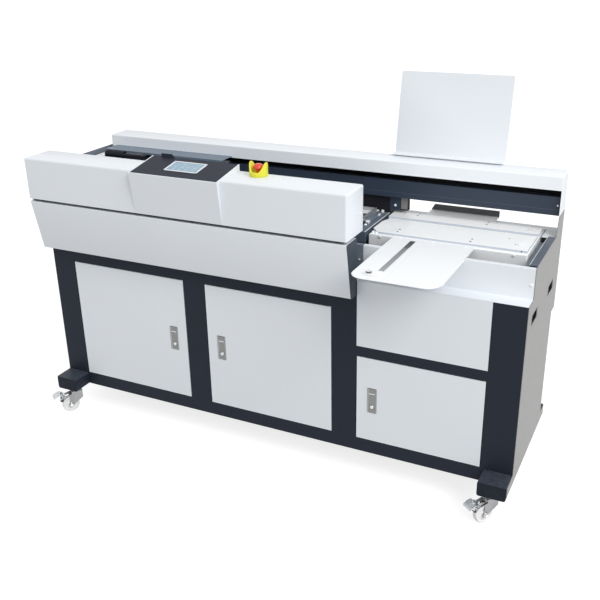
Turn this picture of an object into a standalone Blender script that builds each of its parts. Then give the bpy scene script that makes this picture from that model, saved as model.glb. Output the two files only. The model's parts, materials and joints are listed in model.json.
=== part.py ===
"""Perfect binding machine: a floor-standing adhesive binder on a framed cabinet.

Machine coordinates: x runs from the left end, y runs back from the plane of the doors,
z runs up from the floor. One empty carries them all, so the model's origin lies on the floor
under the middle of its box. Lengths are in metres, angles in degrees.
"""
import math

import bmesh
import bpy
from mathutils import Matrix, Vector

# Cabinet
LENGTH = 1.998
SHEET = 0.002
SEAT = 0.0003
RUNNING = 0.0001
OVERRUN = 0.004
CORNER = 0.004
CASTER_HEIGHT = 0.110
FOOT_HEIGHT = 0.0565
FOOT_WIDTH = 0.103
FOOT_FRONT = 0.087
FOOT_BACK_REACH = 0.0192
FOOT_CORNER = 0.008
RAIL_BOTTOM = 0.1134
FRAME_DEPTH = 0.030
LEFT_COLUMN = 0.1092
MIDDLE_COLUMN = 0.0969
RIGHT_PILLAR = 0.0984
RIGHT_DOOR_WIDTH = 0.4840
RIGHT_COLUMN = 0.1179
DOOR_BOTTOM = 0.168
HEAD_RAIL = 0.1195
RIGHT_HEAD_DROP = 0.1787
FIXED_PANEL_RAIL = 0.0395
LEDGE_HEIGHT = 0.8175
HOUSING_OVERHANG = 0.0548
HOUSING_DEPTH = 0.5328
HOUSING_STEP = 0.608

# Side panels
SIDE_BOTTOM = 0.1264
SIDE_FOOT_FRONT = 0.082
SIDE_FOOT_REACH = 0.0152
LEFT_SIDE_RISE = 0.2729
RIGHT_SIDE_RISE = 0.1119
CHEEK_RISE = 0.1829
CHEEK_SLOPE_GAP = 0.1288
CHEEK_SLOPE_LENGTH = 0.026
HAND_SLOT_LENGTH = 0.082
HAND_SLOT_HEIGHT = 0.034
HAND_SLOT_DROP = 0.0935
FRONT_SLOT_START = 0.068
REAR_SLOT_GAP = 0.1838

# Table bay
WALL_SETBACK = 0.067
WALL_HEIGHT = 0.1067
WALL_FLANGE = 0.020
BAY_LENGTH = 0.6065
SIDE_RAIL_WIDTH = 0.027
SIDE_RAIL_DROP = 0.045
TABLE_LENGTH = 0.5798
TABLE_END_GAP = 0.0562
TABLE_FRONT_GAP = 0.3404
TABLE_BACK_GAP = 0.0408
TABLE_RISE = 0.1070
TABLE_HEIGHT = 0.120
NIP_PLATE_THICKNESS = 0.0076
NIP_PLATE_END_INSET = 0.005
FRONT_NIP_GAP = 0.3258
FRONT_NIP_DEPTH = 0.170
REAR_NIP_DEPTH = 0.079
SPINE_GAP = 0.024
NIP_CORNER_CUT = 0.030
NIP_CORNER_DEPTH = 0.034
LIFT_COLUMN = 0.060
LIFT_COLUMN_GAP = 0.0295
LIFT_SHELF_DROP = 0.2595
SLEEVE_WALL = 0.004

# Cover tray
TRAY_OFFSET = 0.095
TRAY_WIDTH = 0.300
TRAY_REACH = 0.236
TRAY_BACK_GAP = 0.002
TRAY_CORNER = 0.048
TRAY_LIP = 0.009
SLOT_OFFSET = 0.073
SLOT_WIDTH = 0.021
SLOT_FRONT = 0.205
SLOT_BACK_INSET = 0.031
RULE_BACK = 0.100
RULE_OVERLAP = 0.003
RULE_THICKNESS = 0.0012
NOTCH_DEPTH = 0.006
STOP_WIDTH = 0.050
STOP_DEPTH = 0.042
STOP_HEIGHT = 0.006
STOP_TONGUE_DEPTH = 0.020
STOP_CHAMFER = 0.0015
KNOB_RADIUS = 0.010
KNOB_HEIGHT = 0.008
KNOB_STEM_RADIUS = 0.003
KNOB_GROOVES = 12

# Rear cover tray
REAR_TRAY_OFFSET = 0.026
REAR_TRAY_WIDTH = 0.270
REAR_TRAY_GAP = 0.0493
REAR_TRAY_DEPTH = 0.0885
REAR_STOP_HEIGHT = 0.016

# Deck and apron
DECK_GAP = 0.0435
DECK_FRONT_REACH = 0.0024
DECK_RISE = 0.1119
DECK_DROP = 0.042
DECK_WALL_GAP = 0.0778
DECK_WALL_REACH = 0.036
MILLING_GAP = 0.130
CLAMP_LINE_GAP = 0.1438
TANK_OFFSET = 0.268
TANK_LENGTH = 0.216
TANK_FRONT_GAP = 0.2128
TANK_DEPTH = 0.126
TANK_DROP = 0.0494
TANK_RISE = 0.0166
TANK_WALL = 0.006
TANK_FLANGE = 0.008
ROLLER_RADIUS = 0.024
ROLLER_CORE_RADIUS = 0.006
ROLLER_RISE = 0.0085
ROLLER_END_GAP = 0.004

# Front covers
COVER_OVERHANG = 0.0031
COVER_WALL = 0.003
COVER_FRONT = 0.0907
COVER_BACK = 0.0583
COVER_RISE = 0.1669
COVER_HEIGHT = 0.1656
COVER_EDGE = 0.006
GROOVE = 0.012
SHELF_DROP = 0.0064
SHELF_SETBACK = 0.012
SHELF_WEB_GAP = 0.058
SHELF_GAP = 0.0146
SHELF_WEB_SETBACK = 0.010
LOWER_PANEL_TOP_REACH = 0.087
LOWER_PANEL_BOTTOM_REACH = 0.0463
LOWER_PANEL_DROP = 0.0574

# Console
CONSOLE_START = 0.5252
CONSOLE_WIDTH = 0.3828
CONSOLE_FRONT_TOP_REACH = 0.113
CONSOLE_FRONT_DROP = 0.0026
CONSOLE_BACK = 0.052
CONSOLE_BACK_RISE = 0.0254
CONSOLE_RIM = 0.004
TAB_START = 0.044
TAB_WIDTH = 0.061
TAB_HEIGHT = 0.014
TAB_SLOPE = 0.014
PANEL_RECESS = 0.0012
PANEL_THICKNESS = 0.003
SCREEN_START = 0.123
SCREEN_WIDTH = 0.144
SCREEN_FRONT = 0.0525
SCREEN_DEPTH = 0.0845
SCREEN_THICKNESS = 0.0022

# Emergency stop
ESTOP_GAP = 0.096
ESTOP_Y = 0.022
GUARD_RADIUS = 0.034
GUARD_WALL = 0.006
GUARD_BASE = 0.012
GUARD_LOW = 0.017
GUARD_HIGH = 0.050
GUARD_NOTCH_HALF_ANGLE = 18.0
GUARD_LOBE_ANGLE = 62.0
MUSHROOM_RADIUS = 0.019
MUSHROOM_BOTTOM = 0.026
MUSHROOM_HEIGHT = 0.018
ESTOP_STEM_RADIUS = 0.009
ESTOP_TRAVEL = 0.005

# Rear cover, beam and document board
REAR_COVER_START = 0.033
REAR_COVER_GAP = 0.1101
REAR_COVER_LIP_DROP = 0.0507
REAR_COVER_RISE = 0.3272
HOOD_START = 0.065
HOOD_END = 0.655
HOOD_RISE = 0.0064
HOOD_GAP = 0.1928
HOOD_FLANGE = 0.009
BEAM_GAP = 0.0928
BEAM_DEPTH = 0.030
BEAM_DROP = 0.003
BEAM_HEIGHT = 0.069
BEAM_WALL = 0.003
GUIDE_RAIL_RADIUS = 0.010
GUIDE_RAIL_GAP = 0.0348
GUIDE_RAIL_RISE = 0.0486
POST_GAP = 0.002
POST_WIDTH = 0.034
POST_EDGE = 0.0006
POST_DEPTH = 0.026
POST_RISE = 0.0195
BOARD_OVERLAP = 0.018
BOARD_WIDTH = 0.434
BOARD_LIP_GAP = 0.0298
BOARD_LIP_DEPTH = 0.045
BOARD_LIP_HEIGHT = 0.0072
BOARD_LENGTH = 0.308
BOARD_LEAN = 10.0
BOARD_CORNER = 0.008
BOARD_PAD_WIDTH = 0.016
BOARD_PAD_INSET = 0.050

# Clamp carriage
CARRIAGE_START = 0.022
CARRIAGE_LENGTH = 0.633
JAW_RISE = 0.0286
REAR_JAW_GAP = 0.1358
REAR_JAW_THICKNESS = 0.012
REAR_ARM_RISE = 0.0196
ARM_INSET = 0.080
ARM_THICKNESS = 0.014
BEARING_LENGTH = 0.070
BEARING_DEPTH = 0.034
BEARING_DROP = 0.042
ROD_RADIUS = 0.007
ROD_INSET = 0.018
ROD_RISE = 0.082
ROD_REACH = 0.170
FRONT_JAW_GAP = 0.2498
FRONT_JAW_DEPTH = 0.100
FRONT_JAW_RISE = 0.0315
FRONT_JAW_PLATE = 0.012
FRONT_JAW_END_RISE = 0.032
FRONT_JAW_LIP = 0.028
MOTOR_OFFSET = 0.070
MOTOR_SETBACK = 0.024
CLAMP_MOTOR_LENGTH = 0.098
CLAMP_MOTOR_RADIUS = 0.018
GEARBOX_LENGTH = 0.105
GEARBOX_HEIGHT = 0.026

# Milling head
MILLING_MOTOR_RADIUS = 0.060
MILLING_MOTOR_LENGTH = 0.190
MILLING_FLANGE_RADIUS = 0.075
MILLING_FLANGE_THICKNESS = 0.010
MILLING_SHAFT_RADIUS = 0.010
CUTTER_RADIUS = 0.062
CUTTER_RISE = 0.0056
CUTTER_THICKNESS = 0.016
CUTTER_TEETH = 12
CUTTER_NOTCH = 0.008
TOOTH_SHARE = 0.55
NOTCH_START_SHARE = 0.65
NOTCH_END_SHARE = 0.95

# Doors and locks
DOOR_GAP = 0.003
DOOR_DEPTH = 0.018
DOOR_SHEET = 0.0015
DOOR_PIVOT_INSET = 0.005
DOOR_PIN_RADIUS = 0.0025
DOOR_PIN_LENGTH = 0.009
LOCK_INSET = 0.0645
LOCK_WIDTH = 0.030
LOCK_HEIGHT = 0.100
LOCK_CUP_WALL = 0.002
LOCK_CUP_DEPTH = 0.016
LOCK_CLEARANCE = 0.0006
LEVER_THICKNESS = 0.004
LEVER_PIVOT_DROP = 0.008
LEVER_PIVOT_DEPTH = 0.003
LEVER_PIN_RADIUS = 0.0014
LOCK_BUTTON_RADIUS = 0.0085
LOCK_BUTTON_HEIGHT = 0.022
LOCK_BUTTON_PROUD = 0.0015
LOCK_BUTTON_TRAVEL = 0.003
LOCK_STEM_RADIUS = 0.004

# Back and inlet
VENT_COUNT = 6
VENT_LENGTH = 0.120
VENT_WIDTH = 0.008
VENT_PITCH = 0.022
VENT_START = 0.300
VENT_BOTTOM = 0.400
INLET_X = 0.250
INLET_Z = 0.330
INLET_WIDTH = 0.050
INLET_HEIGHT = 0.036
INLET_DEPTH = 0.022
INLET_FLANGE = 0.008
INLET_WALL = 0.004
INLET_PIN_RADIUS = 0.002
INLET_PIN_PITCH = 0.010

# Casters
WHEEL_RADIUS = 0.0375
WHEEL_WIDTH = 0.024
WHEEL_HUB_RADIUS = 0.013
WHEEL_CROWN = 0.003
WHEEL_DISH = 0.001
CASTER_PLATE = 0.003
CASTER_TRAIL = 0.030
LEFT_CASTER_X = 0.069
RIGHT_CASTER_INSET = 0.061
FRONT_CASTER_Y = 0.053
REAR_CASTER_INSET = 0.0528
SWIVEL_RADIUS = 0.024
SWIVEL_HEIGHT = 0.010
SWIVEL_PIN_RADIUS = 0.005
FORK_SHEET = 0.0025
FORK_GAP = 0.0015
BRIDGE_THICKNESS = 0.006
LEG_BACK = 0.024
LEG_BACK_LOW = 0.064
LEG_FRONT = 0.033
LEG_FRONT_LOW = 0.060
LEG_TIP_RADIUS = 0.009
ARM_START = 0.023
ARM_START_HEIGHT = 0.0895
ARM_END = 0.073
ARM_END_HEIGHT = 0.0775
ARM_DEPTH = 0.009
ARM_FLANGE = 0.004
AXLE_RADIUS = 0.004
AXLE_NUT_RADIUS = 0.0088
AXLE_NUT_HEIGHT = 0.012
NUT_DOME_SHARE = 0.7
WASHER_RADIUS = 0.0115
WASHER_THICKNESS = 0.002
PEDAL_REACH = 0.104
PEDAL_WIDTH = 0.046
PEDAL_THICKNESS = 0.0025
PEDAL_LIP = 0.003
PEDAL_LIP_HEIGHT = 0.081
PEDAL_TIP_HEIGHT = 0.086
PEDAL_CORNER = 0.007
PEDAL_START = 0.052
PEDAL_START_HEIGHT = 0.087
PEDAL_CREST = 0.062
PEDAL_CREST_HEIGHT = 0.097
PEDAL_SLOPE_START = 0.082
PEDAL_SLOPE_HEIGHT = 0.096
PEDAL_WING_START = 0.068
PEDAL_PIVOT = 0.058
PEDAL_PIN_RADIUS = 0.003
PEDAL_HUB = 0.004
PEDAL_BOSS = 0.076
PEDAL_BOSS_RADIUS = 0.008
PEDAL_BOSS_HEIGHT = 0.002
PEDAL_DOT_RADIUS = 0.003
PAD_ANGLE = 33.0
PAD_CLEARANCE = 0.0035
PAD_THICKNESS = 0.008
PAD_LENGTH = 0.014
PAD_HANGER = 0.008
CASTER_HEADINGS = {"front_left": -128.3, "front_right": -128.3, "rear_left": -60.0, "rear_right": -100.0}

# Round parts
ROUND_STEPS = 32
SMALL_STEPS = 24
ARC_STEPS = 12
CORNER_STEPS = 6
DOME_STEPS = 5
BUTTON_STEPS = 16

# Derived places
CABINET_DEPTH = HOUSING_DEPTH - HOUSING_OVERHANG
FOOT_BACK = HOUSING_DEPTH + FOOT_BACK_REACH
SIDE_FOOT_BACK = HOUSING_DEPTH + SIDE_FOOT_REACH
REAR_CASTER_Y = HOUSING_DEPTH - REAR_CASTER_INSET
CHEEK_SLOPE_START = HOUSING_DEPTH - CHEEK_SLOPE_GAP
CHEEK_SLOPE_END = CHEEK_SLOPE_START + CHEEK_SLOPE_LENGTH
REAR_SLOT_START = HOUSING_DEPTH - REAR_SLOT_GAP
TABLE_FRONT = HOUSING_DEPTH - TABLE_FRONT_GAP
TABLE_BACK = HOUSING_DEPTH - TABLE_BACK_GAP
FRONT_NIP_START = HOUSING_DEPTH - FRONT_NIP_GAP
TRAY_BACK = FRONT_NIP_START - TRAY_BACK_GAP
SLOT_BACK = TRAY_BACK - SLOT_BACK_INSET
REAR_TRAY_FRONT = HOUSING_DEPTH - REAR_TRAY_GAP
DECK_FRONT = TABLE_FRONT - DECK_FRONT_REACH
DECK_WALL_SETBACK = HOUSING_DEPTH - DECK_WALL_GAP
CLAMP_LINE = HOUSING_DEPTH - CLAMP_LINE_GAP
TANK_FRONT = HOUSING_DEPTH - TANK_FRONT_GAP
REAR_COVER_FRONT = HOUSING_DEPTH - REAR_COVER_GAP
HOOD_FRONT = HOUSING_DEPTH - HOOD_GAP
BEAM_FRONT = HOUSING_DEPTH - BEAM_GAP
GUIDE_RAIL_Y = HOUSING_DEPTH - GUIDE_RAIL_GAP
BOARD_LIP_FRONT = HOUSING_DEPTH - BOARD_LIP_GAP
REAR_JAW_FRONT = HOUSING_DEPTH - REAR_JAW_GAP
FRONT_JAW_FRONT = HOUSING_DEPTH - FRONT_JAW_GAP
RIGHT_DOOR_END = LENGTH - RIGHT_COLUMN
RIGHT_DOOR_START = RIGHT_DOOR_END - RIGHT_DOOR_WIDTH
DOOR_WIDTH = (RIGHT_DOOR_START - RIGHT_PILLAR - MIDDLE_COLUMN - LEFT_COLUMN) / 2
DOOR_TOP = LEDGE_HEIGHT - HEAD_RAIL
RIGHT_DOOR_TOP = DOOR_TOP - RIGHT_HEAD_DROP
FIXED_PANEL_BOTTOM = RIGHT_DOOR_TOP + FIXED_PANEL_RAIL
LEFT_SIDE_TOP = LEDGE_HEIGHT + LEFT_SIDE_RISE
RIGHT_SIDE_TOP = LEDGE_HEIGHT + RIGHT_SIDE_RISE
CHEEK_BOTTOM = LEDGE_HEIGHT + CHEEK_RISE
HAND_SLOT_BOTTOM = LEDGE_HEIGHT - HAND_SLOT_DROP
WALL_TOP = LEDGE_HEIGHT + WALL_HEIGHT
BAY_START = LENGTH - BAY_LENGTH
TABLE_END = LENGTH - TABLE_END_GAP
TABLE_START = TABLE_END - TABLE_LENGTH
TABLE_TOP = LEDGE_HEIGHT + TABLE_RISE
LIFT_COLUMN_TOP = TABLE_TOP - LIFT_COLUMN_GAP
TRAY_START = TABLE_START + TRAY_OFFSET
REAR_TRAY_START = TRAY_START + REAR_TRAY_OFFSET
DECK_END = BAY_START - DECK_GAP
DECK_TOP = LEDGE_HEIGHT + DECK_RISE
DECK_WALL_END = DECK_END + DECK_WALL_REACH
TANK_START = DECK_END - TANK_OFFSET
MILLING_CENTRE = TANK_START - MILLING_GAP
TANK_BOTTOM = DECK_TOP - TANK_DROP
TANK_TOP = DECK_TOP + TANK_RISE
ROLLER_TOP = TANK_TOP + ROLLER_RISE
CUTTER_BOTTOM = DECK_TOP + CUTTER_RISE
COVER_LENGTH = BAY_START + COVER_OVERHANG
COVER_BOTTOM = LEDGE_HEIGHT + COVER_RISE
COVER_TOP = COVER_BOTTOM + COVER_HEIGHT
SHELF_WEB_END = DECK_END - SHELF_WEB_GAP
SHELF_END = COVER_LENGTH - SHELF_GAP
LOWER_PANEL_BOTTOM = LEDGE_HEIGHT - LOWER_PANEL_DROP
CONSOLE_FRONT_TOP = COVER_TOP - CONSOLE_FRONT_DROP
CONSOLE_BACK_TOP = COVER_TOP + CONSOLE_BACK_RISE
REAR_COVER_TOP = LEDGE_HEIGHT + REAR_COVER_RISE
REAR_COVER_LIP = REAR_COVER_TOP - REAR_COVER_LIP_DROP
HOOD_TOP = REAR_COVER_LIP + HOOD_RISE
BEAM_BOTTOM = CHEEK_BOTTOM - BEAM_DROP
GUIDE_RAIL_HEIGHT = BEAM_BOTTOM + GUIDE_RAIL_RISE
POST_START = DECK_WALL_END + POST_GAP
POST_BOTTOM = TABLE_TOP + POST_RISE
BOARD_START = DECK_END - BOARD_OVERLAP
JAW_BOTTOM = DECK_TOP + JAW_RISE
ROD_HEIGHT = JAW_BOTTOM + ROD_RISE
FRONT_JAW_TOP = ROD_HEIGHT + FRONT_JAW_RISE
FRONT_JAW_END_BOTTOM = JAW_BOTTOM + FRONT_JAW_END_RISE
RIGHT_CASTER_X = LENGTH - RIGHT_CASTER_INSET
FOOT_TOP = CASTER_HEIGHT + FOOT_HEIGHT
INNER_LEFT = SHEET + SEAT
INNER_RIGHT = LENGTH - SHEET - SEAT
MIDDLE_DOOR_START = LEFT_COLUMN + DOOR_WIDTH + MIDDLE_COLUMN
TABLE_BOTTOM = TABLE_TOP - TABLE_HEIGHT
LIFT_SHELF = TABLE_BOTTOM - LIFT_SHELF_DROP
REAR_NIP_START = FRONT_NIP_START + FRONT_NIP_DEPTH + SPINE_GAP
LOWER_PANEL_TOP = COVER_BOTTOM - GROOVE
SHELF_TOP = COVER_BOTTOM - SHELF_DROP
CONSOLE_END = CONSOLE_START + CONSOLE_WIDTH
ESTOP_X = CONSOLE_END + ESTOP_GAP
BOARD_BEND_Y = BOARD_LIP_FRONT + BOARD_LIP_DEPTH
BOARD_LIP_Z = REAR_COVER_TOP + BOARD_LIP_HEIGHT
BOARD_BACK = (BOARD_BEND_Y + BOARD_LENGTH * math.sin(math.radians(BOARD_LEAN))
              + SHEET * math.cos(math.radians(BOARD_LEAN)))
FRONT_Y = (TRAY_REACH - BOARD_BACK) / 2
CARRIAGE_END = CARRIAGE_START + CARRIAGE_LENGTH
REAR_COVER_LOW_BACK = TABLE_TOP
BEAM_TOP = BEAM_BOTTOM + BEAM_HEIGHT
REAR_ARM_TOP = BEAM_TOP + REAR_ARM_RISE
BEAM_START = REAR_COVER_START + SHEET + SEAT
ROLLER_HEIGHT = ROLLER_TOP - ROLLER_RADIUS
PEDAL_PIVOT_HEIGHT = (ARM_START_HEIGHT - ARM_DEPTH / 2
                      - (ARM_START_HEIGHT - ARM_END_HEIGHT) * (PEDAL_PIVOT - ARM_START) / (ARM_END - ARM_START))


def wing_outline():
    """A pedal's wing seen from above, measured from the swivel axis along its heading and across."""
    half = PEDAL_WIDTH / 2
    tip = PEDAL_REACH
    return [(PEDAL_WING_START, -half), (tip - PEDAL_CORNER, -half), (tip, -half + PEDAL_CORNER),
            (tip, half - PEDAL_CORNER), (tip - PEDAL_CORNER, half), (PEDAL_WING_START, half)]


def left_end():
    """How far the left pedal's tip reaches past the left side panel."""
    heading = math.radians(CASTER_HEADINGS["front_left"])
    reach = min(along * math.cos(heading) - across * math.sin(heading) for along, across in wing_outline())
    return LEFT_CASTER_X + reach


CENTRE_X = (LENGTH + left_end()) / 2


def clear_scene():
    """Remove whatever objects the file holds."""
    for item in list(bpy.data.objects):
        bpy.data.objects.remove(item, do_unlink=True)


def finish(name, colour, roughness, metallic=0.0):
    """Make one plain finish."""
    material = bpy.data.materials.new(name)
    material.use_nodes = True
    shader = material.node_tree.nodes["Principled BSDF"]
    shader.inputs["Base Color"].default_value = (*colour, 1.0)
    shader.inputs["Roughness"].default_value = roughness
    shader.inputs["Metallic"].default_value = metallic
    return material


def prism(outline, axis, start, stop):
    """Extrude a closed outline of two coordinates along one axis, from start to stop."""
    mesh = bmesh.new()
    place = {"X": lambda a, b, c: (c, a, b), "Y": lambda a, b, c: (a, c, b), "Z": lambda a, b, c: (a, b, c)}[axis]
    near = [mesh.verts.new(place(a, b, start)) for a, b in outline]
    far = [mesh.verts.new(place(a, b, stop)) for a, b in outline]
    mesh.faces.new(near)
    mesh.faces.new(list(reversed(far)))
    for index in range(len(near)):
        following = (index + 1) % len(near)
        mesh.faces.new((near[following], near[index], far[index], far[following]))
    bmesh.ops.recalc_face_normals(mesh, faces=mesh.faces)
    return mesh


def block(low, high):
    """A box between two corners."""
    outline = [(low[0], low[1]), (high[0], low[1]), (high[0], high[1]), (low[0], high[1])]
    return prism(outline, "Z", low[2], high[2])


def turned(profile, centre, axis="Z", steps=ROUND_STEPS):
    """Turn a closed profile of (radius, height) points round an axis through a centre."""
    mesh = bmesh.new()
    rings = []
    for radius, height in profile:
        if radius == 0:
            rings.append([mesh.verts.new((0, 0, height))])
            continue
        ring = []
        for step in range(steps):
            angle = 2 * math.pi * step / steps
            ring.append(mesh.verts.new((radius * math.cos(angle), radius * math.sin(angle), height)))
        rings.append(ring)
    closed = len(rings[0]) > 1 and len(rings[-1]) > 1
    pairs = list(zip(rings, rings[1:])) + ([(rings[-1], rings[0])] if closed else [])
    for lower, upper in pairs:
        for step in range(steps):
            following = (step + 1) % steps
            if len(lower) == 1:
                mesh.faces.new((lower[0], upper[step], upper[following]))
            elif len(upper) == 1:
                mesh.faces.new((lower[step], lower[following], upper[0]))
            else:
                mesh.faces.new((lower[step], lower[following], upper[following], upper[step]))
    bmesh.ops.recalc_face_normals(mesh, faces=mesh.faces)
    turn = {"Z": Matrix(), "X": Matrix.Rotation(math.pi / 2, 4, "Y"), "Y": Matrix.Rotation(-math.pi / 2, 4, "X")}
    bmesh.ops.transform(mesh, matrix=Matrix.Translation(centre) @ turn[axis], verts=mesh.verts)
    return mesh


def rod(radius, centre, start, stop, axis="Z", steps=SMALL_STEPS):
    """A plain round bar along one axis, between two distances from its centre."""
    return turned([(0, start), (radius, start), (radius, stop), (0, stop)], centre, axis, steps)


def to_object(name, mesh, material=None, origin=(0, 0, 0)):
    """Put a mesh in an object whose origin is at a place in machine coordinates."""
    bmesh.ops.translate(mesh, verts=mesh.verts, vec=-Vector(origin))
    data = bpy.data.meshes.new(name)
    mesh.to_mesh(data)
    mesh.free()
    item = bpy.data.objects.new(name, data)
    item.location = origin
    item.parent = bpy.data.objects["machine"]
    if material:
        data.materials.append(material)
    bpy.context.scene.collection.objects.link(item)
    return item


def combine(item, operation, mesh):
    """Cut a tool from a piece, or join it on, with a boolean modifier."""
    tool = to_object(item.name + "_tool", mesh, origin=item.location)
    tool.display_type = "WIRE"
    tool.hide_render = True
    modifier = item.modifiers.new(operation.lower(), "BOOLEAN")
    modifier.operation = operation
    modifier.solver = "EXACT"
    modifier.object = tool
    return item


def cut(item, *meshes):
    for mesh in meshes:
        combine(item, "DIFFERENCE", mesh)
    return item


def join(item, *meshes):
    for mesh in meshes:
        combine(item, "UNION", mesh)
    return item


def round_edges(item, width, segments=2, angle=60.0):
    """Round the edges that are sharper than an angle."""
    modifier = item.modifiers.new("rounded edges", "BEVEL")
    modifier.width = width
    modifier.segments = segments
    modifier.limit_method = "ANGLE"
    modifier.angle_limit = math.radians(angle)
    return item


def smooth(item, angle=35.0):
    item.data.shade_smooth()
    item.data.set_sharp_from_angle(angle=math.radians(angle))
    return item


def rounded_outline(corners, steps=4):
    """Round the corners of an outline: each corner is a point and its radius."""
    outline = []
    for index, (x, y, radius) in enumerate(corners):
        here = Vector((x, y))
        if radius == 0:
            outline.append((x, y))
            continue
        before = (Vector(corners[index - 1][:2]) - here).normalized()
        after = (Vector(corners[(index + 1) % len(corners)][:2]) - here).normalized()
        half = before.angle(after) / 2
        start = here + before * radius / math.tan(half)
        stop = here + after * radius / math.tan(half)
        centre = here + (before + after).normalized() * radius / math.sin(half)
        for step in range(steps + 1):
            share = step / steps
            spoke = (start - centre).lerp(stop - centre, share).normalized() * radius
            outline.append(tuple(centre + spoke))
    return outline


def bent_sheet(line, thickness):
    """Give a bent line of points a thickness to its left, for an extruded sheet."""
    offset = []
    for index, point in enumerate(line):
        here = Vector(point)
        directions = []
        if index > 0:
            directions.append((here - Vector(line[index - 1])).normalized())
        if index < len(line) - 1:
            directions.append((Vector(line[index + 1]) - here).normalized())
        normals = [Vector((-d.y, d.x)) for d in directions]
        mean = sum(normals, Vector((0, 0))).normalized()
        offset.append(tuple(here + mean * thickness / mean.dot(normals[0])))
    return list(line) + list(reversed(offset))


# Cabinet pieces

def cabinet_frame(dark):
    top = LEDGE_HEIGHT - SHEET - SEAT
    foot_end = SHEET + SEAT + FOOT_WIDTH + SEAT
    column_bottom = FOOT_TOP + SEAT
    outline = [(foot_end, RAIL_BOTTOM), (LENGTH - foot_end, RAIL_BOTTOM), (LENGTH - foot_end, column_bottom),
               (INNER_RIGHT, column_bottom), (INNER_RIGHT, top), (RIGHT_DOOR_END, top),
               (RIGHT_DOOR_END, FIXED_PANEL_BOTTOM), (RIGHT_DOOR_START, FIXED_PANEL_BOTTOM),
               (RIGHT_DOOR_START, top), (INNER_LEFT, top), (INNER_LEFT, column_bottom), (foot_end, column_bottom)]
    item = to_object("cabinet_frame", prism(outline, "Y", 0, FRAME_DEPTH), dark)
    for start, width, head in ((LEFT_COLUMN, DOOR_WIDTH, DOOR_TOP), (MIDDLE_DOOR_START, DOOR_WIDTH, DOOR_TOP),
                               (RIGHT_DOOR_START, RIGHT_DOOR_WIDTH, RIGHT_DOOR_TOP)):
        cut(item, block((start, -OVERRUN, DOOR_BOTTOM), (start + width, FRAME_DEPTH + OVERRUN, head)))
    for leaf in DOORS:
        for sense, edge in ((-1, DOOR_BOTTOM), (1, leaf["head"])):
            reach = sense * (DOOR_PIN_LENGTH + SEAT)
            hole = rod(DOOR_PIN_RADIUS + RUNNING, (leaf["pivot"], DOOR_PIVOT_INSET, edge),
                       min(reach, -sense * OVERRUN), max(reach, -sense * OVERRUN))
            cut(item, hole)
    return item


def side_outline(top_points):
    """Outline of a side panel in (y, z), from its foot cover round by way of its top."""
    foot_top = FOOT_TOP - SEAT
    return ([(-SIDE_FOOT_FRONT, SIDE_BOTTOM), (-SIDE_FOOT_FRONT, foot_top), (0, foot_top)] + top_points
            + [(HOUSING_DEPTH, HOUSING_STEP), (CABINET_DEPTH, HOUSING_STEP), (CABINET_DEPTH, foot_top),
               (SIDE_FOOT_BACK, foot_top), (SIDE_FOOT_BACK, SIDE_BOTTOM)])


def hand_slots(item, x):
    for start in (FRONT_SLOT_START, REAR_SLOT_START):
        cut(item, block((x - OVERRUN, start, HAND_SLOT_BOTTOM),
                        (x + SHEET + OVERRUN, start + HAND_SLOT_LENGTH, HAND_SLOT_BOTTOM + HAND_SLOT_HEIGHT)))
    return item


def left_side_panel(grey):
    outline = side_outline([(0, LEFT_SIDE_TOP), (HOUSING_DEPTH, LEFT_SIDE_TOP)])
    item = to_object("left_side_panel", prism(outline, "X", 0, SHEET), grey)
    cut(item, block((-OVERRUN, -OVERRUN, COVER_BOTTOM - SEAT),
                    (SHEET + OVERRUN, COVER_BACK + SEAT, LEFT_SIDE_TOP + OVERRUN)))
    return hand_slots(item, 0)


def right_side_panel(grey):
    outline = side_outline([(0, LEDGE_HEIGHT), (WALL_SETBACK, LEDGE_HEIGHT), (WALL_SETBACK, WALL_TOP),
                            (WALL_SETBACK + WALL_FLANGE, RIGHT_SIDE_TOP), (CHEEK_SLOPE_START, RIGHT_SIDE_TOP),
                            (CHEEK_SLOPE_END, CHEEK_BOTTOM - SEAT), (HOUSING_DEPTH, CHEEK_BOTTOM - SEAT)])
    item = to_object("right_side_panel", prism(outline, "X", LENGTH - SHEET, LENGTH), grey)
    return hand_slots(item, LENGTH - SHEET)


def back_panel(white):
    bottom = FOOT_TOP + SEAT
    shelf = TABLE_TOP - SEAT
    line = [(CABINET_DEPTH, bottom), (CABINET_DEPTH, HOUSING_STEP), (HOUSING_DEPTH, HOUSING_STEP),
            (HOUSING_DEPTH, shelf), (TABLE_BACK + SEAT * 2, shelf)]
    item = to_object("back_panel", prism(bent_sheet(line, SHEET), "X", INNER_LEFT, INNER_RIGHT), white)
    for index in range(VENT_COUNT):
        low = VENT_BOTTOM + index * VENT_PITCH
        for start in (VENT_START, RIGHT_DOOR_START + LEFT_COLUMN):
            cut(item, block((start, CABINET_DEPTH - SHEET - OVERRUN, low),
                            (start + VENT_LENGTH, CABINET_DEPTH + OVERRUN, low + VENT_WIDTH)))
    cut(item, block((INLET_X - INLET_WIDTH / 2, CABINET_DEPTH - SHEET - OVERRUN, INLET_Z - INLET_HEIGHT / 2),
                    (INLET_X + INLET_WIDTH / 2, CABINET_DEPTH + OVERRUN, INLET_Z + INLET_HEIGHT / 2)))
    return join(item, block((TABLE_END + 2 * SHEET, CHEEK_SLOPE_START + SEAT, shelf - SHEET),
                            (INNER_RIGHT - 2 * SHEET, HOUSING_DEPTH - SHEET / 2, shelf)))


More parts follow.
